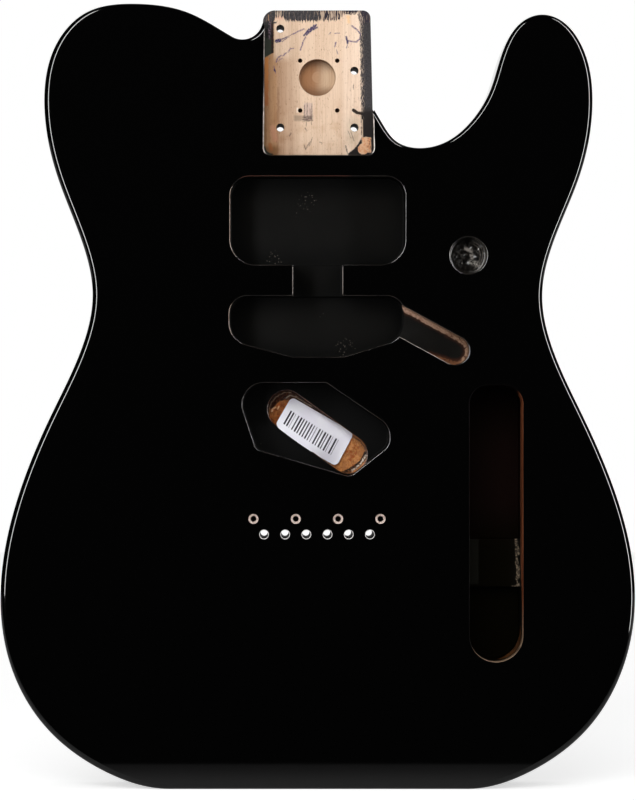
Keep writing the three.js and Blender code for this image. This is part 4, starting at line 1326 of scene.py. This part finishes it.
# %% Blind hole
BLIND_X, BLIND_Z, BLIND_RADIUS, BLIND_DEPTH = treble_place(0.149), BODY_LENGTH - 128.5, 9.45, 10.0
BLIND_CORNER, BLIND_RINGS, BLIND_MIDDLE, BLIND_FLOOR_EDGE = 1.5, 22, 0.2, 1.9
LUMPY_CORNER_ROWS = 3
LUMPS = [
    (-0.9, 0.3, 3.2, 1.6), (-4.6, 3.4, 1.8, 1.3), (2.6, 4.6, 1.6, 1.2), (4.8, -0.6, 1.7, 1.5),
    (1.2, -4.4, 2.0, 1.5), (-3.6, -4.0, 1.7, 1.2), (-6.6, -0.6, 1.3, 0.9), (6.4, 3.4, 1.2, 0.8),
]


def lumps(x, z):
    """Height of the set paint: a sum of round hills, each its height times e to minus the
    squared distance over the squared radius."""
    height = np.zeros_like(x)
    for across, up, radius, rise in LUMPS:
        height += rise * np.exp(-((x - BLIND_X - across) ** 2 + (z - BLIND_Z - up) ** 2) / radius**2)
    return height


down = FRONT + BLIND_DEPTH
insets = np.linspace(BLIND_RADIUS - BLIND_MIDDLE, BLIND_FLOOR_EDGE, BLIND_RINGS)
floor_rows = np.stack([insets, np.full_like(insets, down)], 1)
corner_rows = quarter(BLIND_CORNER, 0, 90, ROUND_STEPS) * (1, -1) + (0, down)
rim_rows = quarter(RIM, 90, RIM_STOP, ROUND_STEPS) * (-1, 1) + (0, FRONT)
above = [(rim_rows[-1][0], FRONT - OVERRUN)]
blind_profile = np.concatenate([floor_rows, corner_rows, rim_rows, above])
blind_rings = carried(circle(BLIND_X, BLIND_Z, BLIND_RADIUS, 4), blind_profile)
low_rows = slice(0, len(floor_rows) + LUMPY_CORNER_ROWS)
blind_rings[low_rows, :, 1] -= lumps(blind_rings[low_rows, :, 0], blind_rings[low_rows, :, 2])
kinds = [set_paint] * (len(blind_profile) - 1 - len(rim_rows)) + [rim] * len(rim_rows)
cutters.append(grid_object("blind_hole", blind_rings, kinds))

# %% [markdown]
# At the back, the heel's treble corner is carved away for the player's hand. The carving is a
# quarter round that runs along a slanted line, so two rings are enough for it.

# %% Contour over the heel's treble corner, at the back
CONTOUR_ACROSS, CONTOUR_DOWN, CONTOUR_RADIUS = 24.0, 29.0, 20.0
contour_top = np.array([POCKET_TREBLE[1] - CONTOUR_ACROSS, HEEL_END])
contour_side = np.array([POCKET_TREBLE[1], HEEL_END - CONTOUR_DOWN])
along = contour_top - contour_side
run = np.linalg.norm(along) + 2 * CONTOUR_RADIUS
along /= np.linalg.norm(along)
outward = np.array([along[1], -along[0]])
contour_start = contour_side - along * CONTOUR_RADIUS
reach = CONTOUR_RADIUS + OVERRUN
curve = arc((0, -CONTOUR_RADIUS), CONTOUR_RADIUS, 90, 0)
section = np.concatenate([curve, [(reach, -CONTOUR_RADIUS), (reach, OVERRUN), (0, OVERRUN)]])
steps = np.array([0, run])[:, None, None]
flat = contour_start + section[None, :, :1] * outward + steps * along
y = np.broadcast_to(BACK + section[None, :, 1], flat.shape[:2])
contour_rings = np.stack([flat[..., 0], y, flat[..., 1]], -1)
cutters.append(grid_object("heel_contour", contour_rings, [lacquer]))
print("Cutters in all", len(cutters))

# %% [markdown]
# ## Cutting
#
# Each cutter is taken away by a Boolean modifier, which keeps the cutter's own materials on
# the surfaces that it leaves. The slab is then parted into its four boards by boxes that
# meet at the glue lines. The result is baked into plain meshes, so that nothing after this
# has to work the cuts out again.


# %% Volume check and Boolean cuts
def volume(solid):
    """Volume in litres: a sixth of the sum of the corners' triple products over triangles."""
    mesh = solid.data
    mesh.calc_loop_triangles()
    corners = np.empty(len(mesh.loop_triangles) * 3, np.int32)
    mesh.loop_triangles.foreach_get("vertices", corners)
    points = np.empty(len(mesh.vertices) * 3)
    mesh.vertices.foreach_get("co", points)
    a, b, c = points.reshape(-1, 3)[corners].reshape(-1, 3, 3).transpose(1, 0, 2)
    return (a * np.cross(b, c)).sum() / 6 * 1000


def baked(solid, name):
    """A plain mesh of a solid with its modifiers applied. They are then taken off the solid."""
    graph = bpy.context.evaluated_depsgraph_get()
    mesh = bpy.data.meshes.new_from_object(solid.evaluated_get(graph), depsgraph=graph)
    mesh.name = name
    solid.modifiers.clear()
    return mesh


def combined(name, solid, others, operation):
    """A new solid: this one with the others taken away, or kept only where they are."""
    for other in others:
        cut = solid.modifiers.new(other.name, "BOOLEAN")
        cut.operation, cut.object = operation, other
        cut.solver, cut.material_mode = "MANIFOLD", "TRANSFER"
    return placed(name, baked(solid, name))


for cutter in cutters:
    if volume(cutter) <= 0:
        print("Turned inside out:", cutter.name)
routed = combined("routed_body", slab, cutters, "DIFFERENCE")
print("Slab", round(volume(slab), 3), "litres, routed", round(volume(routed), 3))

# %% Part the body into its boards
FIRST_SEAM, CENTRE_SEAM = -0.63 * BODY_WIDTH / 2, -20.0
SEAMS = [-BODY_WIDTH, FIRST_SEAM, CENTRE_SEAM, LAST_SEAM, BODY_WIDTH]
NAMES = ["bass_outer_stave", "bass_centre_stave", "treble_centre_stave", "treble_outer_stave"]
boards = []
for name, left, right in zip(NAMES, SEAMS[:-1], SEAMS[1:]):
    face = rectangle(left, right, -OVERRUN, BODY_LENGTH + OVERRUN)
    rings = carried(face, [(0, BACK + OVERRUN), (0, FRONT - OVERRUN)])
    box = grid_object(name + "_box", rings, [bare_alder])
    board = combined(name + "_dressed", routed, [box], "INTERSECT")
    bpy.data.objects.remove(box)
    boards.append(board)
    print(name, round(volume(board), 3), "litres,", len(board.data.polygons), "faces")
for spare in [slab, routed, *cutters]:
    bpy.data.objects.remove(spare)

# %% [markdown]
# Where a large flat face meets a small round, a plain mean of their normals would bend the
# reflection far into the flat. Weighted normals let the large face win, and edges sharper
# than a set angle stay crisp.

# %% Shade the gloss evenly
SHARP_ANGLE = np.radians(32)
for name, board in zip(NAMES, boards):
    board.data.polygons.foreach_set("use_smooth", [True] * len(board.data.polygons))
    board.data.set_sharp_from_angle(angle=SHARP_ANGLE)
    even = board.modifiers.new("even shine", "WEIGHTED_NORMAL")
    even.mode, even.keep_sharp = "FACE_AREA", True
    board.data = baked(board, board.name)
    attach(board, "root")
    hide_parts(name)
    print(board.name, "wears", [finish.name for finish in board.data.materials])

# %% [markdown]
# ## Paper label
#
# A label was dropped into the slot: its right end lies on the slot's floor, and its left end
# has curled up over the slot's rim. The sheet is a grid between four corners that are named
# by the photograph's pixels. Its depth is worked out first, because depth shifts a pixel.
# A rounded corner comes from pulling the grid's rows in near both ends.

# %% Label
CORNERS = {"top_left": (291.5, 396.8), "top_right": (354.1, 433.0),
           "low_right": (336.4, 466.6), "low_left": (275.0, 425.45)}
LABEL_DEPTH, LABEL_RISE, LABEL_THICKNESS = 24.6, 8.4, 0.2
LABEL_CORNER_SHARE, LABEL_RATIO, LABEL_SHARP_ANGLE = 0.07, 2.0, np.radians(40)
LABEL_BULGE, BULGE_WAY = 1.6, np.array([-0.5, 0.87])
LABEL_FLAT_FROM, LABEL_FLATTENING = 0.5, 0.8
LABEL_STEPS = (72, 36)


def label_sheet():
    """Rows of points from the upper long edge to the lower, and their shares along and over.
    Each pixel is a mix of the four corners, with the lower edge bowed by a half sine. The
    sheet rises by a quarter sine over its width, less and less towards the right end."""
    over = (1 - np.cos(np.linspace(0, np.pi, LABEL_STEPS[1] + 1)))[:, None] / 2
    along = np.linspace(0, 1, LABEL_STEPS[0] + 1)[None, :]
    reach = np.clip(1 - np.minimum(over, 1 - over) / (LABEL_CORNER_SHARE * LABEL_RATIO), 0, 1)
    pull = LABEL_CORNER_SHARE * (1 - np.sqrt(1 - reach**2))
    along = pull + along * (1 - 2 * pull)
    over = np.broadcast_to(over, along.shape)
    corner = {name: np.array(pixel)[:, None, None] for name, pixel in CORNERS.items()}
    upper = corner["top_left"] * (1 - along) + corner["top_right"] * along
    lower = corner["low_left"] * (1 - along) + corner["low_right"] * along
    lower = lower + LABEL_BULGE * np.sin(np.pi * along) * BULGE_WAY[:, None, None]
    pixel = upper * (1 - over) + lower * over
    t = np.clip((along - LABEL_FLAT_FROM) / (1 - LABEL_FLAT_FROM), 0, 1)
    rise = LABEL_RISE * (1 - LABEL_FLATTENING * t * t * (3 - 2 * t)) * np.sin(np.pi / 2 * over)
    depth = LABEL_DEPTH - rise
    x, z = pixel_point(pixel[0], pixel[1], depth)
    return np.stack([x, FRONT + depth, z], -1), along, over


# %% Faces of the label: front, back and the edge between them
points, along, over = label_sheet()
rows, columns = along.shape
back = points + (0, LABEL_THICKNESS, 0)
count = rows * columns
k, i = np.meshgrid(np.arange(rows - 1), np.arange(columns - 1), indexing="ij")
corner = (k * columns + i).ravel()
face = np.stack([corner, corner + columns, corner + columns + 1, corner + 1], 1)
behind = face[:, ::-1] + count
ring = np.concatenate([
    np.arange(columns), np.arange(1, rows) * columns + columns - 1,
    count - 2 - np.arange(columns - 1), np.arange(rows - 2, 0, -1) * columns,
])
after = np.roll(ring, -1)
edges = np.stack([ring, after, after + count, ring + count], 1)
faces = np.concatenate([face, behind, edges])
label_mesh = bpy.data.meshes.new("paper_label_dressed")
corners = np.concatenate([points.reshape(-1, 3), back.reshape(-1, 3)])
label_mesh.from_pydata((corners * MM).tolist(), [], faces.tolist())
shares = np.tile(np.stack([along.ravel(), over.ravel()], 1), (2, 1))
used = np.empty(len(label_mesh.loops), np.int32)
label_mesh.loops.foreach_get("vertex_index", used)
sheet_map = label_mesh.uv_layers.new(name="sheet")
sheet_map.data.foreach_set("uv", shares[used].ravel())
label_mesh.polygons.foreach_set("use_smooth", [True] * len(faces))
label_mesh.set_sharp_from_angle(angle=LABEL_SHARP_ANGLE)
label_mesh.materials.append(label_paper)
label = placed("paper_label_dressed", label_mesh)
print("Label of", len(faces), "faces, volume", volume(label))
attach(label, "root")
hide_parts("paper_label")

# %% [markdown]
# ## Floor, backdrop and lamps
#
# The body stands on its tail on a white floor before a white backdrop. Black gloss shows
# whatever it faces, so the room behind the camera is left dark, and so is the floor there
# as gloss sees it. Two tall soft boxes, one on either side, draw the thin bright lines along
# the edges. They stand close and upright, so the lines run on round every curve of the outline.
# A broad lamp in front fills the routs: gloss doesn't see it, as if it were turned so that
# its reflection misses the lens.

# %% Floor
FLOOR_REACH, FLOOR_GLOW, FLOOR_DIMMING = 3.0, 0.62, 0.72
FLOOR_FADE, FLOOR_END = (-30.0, -160.0), (-158.0, -163.0)
floor_mesh = bpy.data.meshes.new("floor")
floor_corners = rectangle(-FLOOR_REACH, FLOOR_REACH, -FLOOR_REACH, FLOOR_REACH)
floor_mesh.from_pydata([(x, y, 0) for x, y in floor_corners], [], [(0, 1, 2, 3)])
floor = placed("floor", floor_mesh)
floor_white, shader, place = new_finish("floor_white")
dress(shader, grey(0.8), 0.9, specular=0.0)
tree = shader.id_data
light_path = source(tree, "ShaderNodeLightPath").outputs
seen = most(light_path["Is Camera Ray"], light_path["Is Transmission Ray"])
plug(every(seen, FLOOR_GLOW), shader.inputs["Emission Strength"])
shader.inputs["Emission Color"].default_value = grey(1.0)
toward_camera, = split(place, "Y")
unseen = most(every(fade(toward_camera, *FLOOR_FADE), FLOOR_DIMMING), fade(toward_camera, *FLOOR_END))
unseen = every(unseen, light_path["Is Glossy Ray"])
dark = source(tree, "ShaderNodeEmission")
dark.inputs["Strength"].default_value = 0.0
mixed = add_node("ShaderNodeMixShader", {0: unseen, 1: shader.outputs[0], 2: dark.outputs[0]})
plug(mixed.outputs[0], tree.nodes["Material Output"].inputs["Surface"])
floor_mesh.materials.append(floor_white)
floor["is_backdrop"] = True

# %% World
BACKDROP_EDGE, WORLD_STRENGTH = (0.86, 0.95), 0.35
world = bpy.data.worlds.new("studio")
bpy.context.scene.world = world
world.use_nodes = True
tree = world.node_tree
background = tree.nodes["Background"].inputs
light_path = source(tree, "ShaderNodeLightPath").outputs
backward, = split(source(tree, "ShaderNodeTexCoord").outputs["Generated"], "Y")
seen_in_gloss = every(fade(backward, *BACKDROP_EDGE), light_path["Is Glossy Ray"])
seen = most(light_path["Is Camera Ray"], seen_in_gloss, light_path["Is Transmission Ray"])
plain = every(maths("SUBTRACT", 1.0, light_path["Is Glossy Ray"]), WORLD_STRENGTH)
plug(most(seen, plain), background["Strength"])
background["Color"].default_value = grey(1.0)


# %% Lamps
def soft_box(name, place, size, power, tilt, in_gloss):
    """A rectangular lamp at a place in metres, turned to the body's middle line and tilted down
    by so many degrees."""
    data = bpy.data.lights.new(name, "AREA")
    data.shape, data.size, data.size_y, data.energy = "RECTANGLE", size[0], size[1], power
    lamp = placed(name, data)
    lamp.location = place
    lamp.rotation_euler = (np.pi / 2 - np.radians(tilt), 0, np.arctan2(place[0], -place[1]))
    lamp.visible_glossy, lamp.visible_diffuse = in_gloss, not in_gloss


soft_box("left_soft_box", (-0.47, -0.60, 0.735), (0.14, 1.33), 10.6, 0, in_gloss=True)
soft_box("right_soft_box", (0.53, -0.33, 0.685), (0.09, 1.43), 8.6, 0, in_gloss=True)
soft_box("front_fill", (-0.41, -2.31, 1.06), (2.0, 1.6), 50, 20, in_gloss=False)
bpy.context.scene.view_settings.view_transform = "Standard"

# %% [markdown]
# ## The dressed model's box
#
# Last, the box of every piece that renders is worked out, floor and backdrop left out.

# %% Work out the box of the dressed model
low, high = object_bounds()
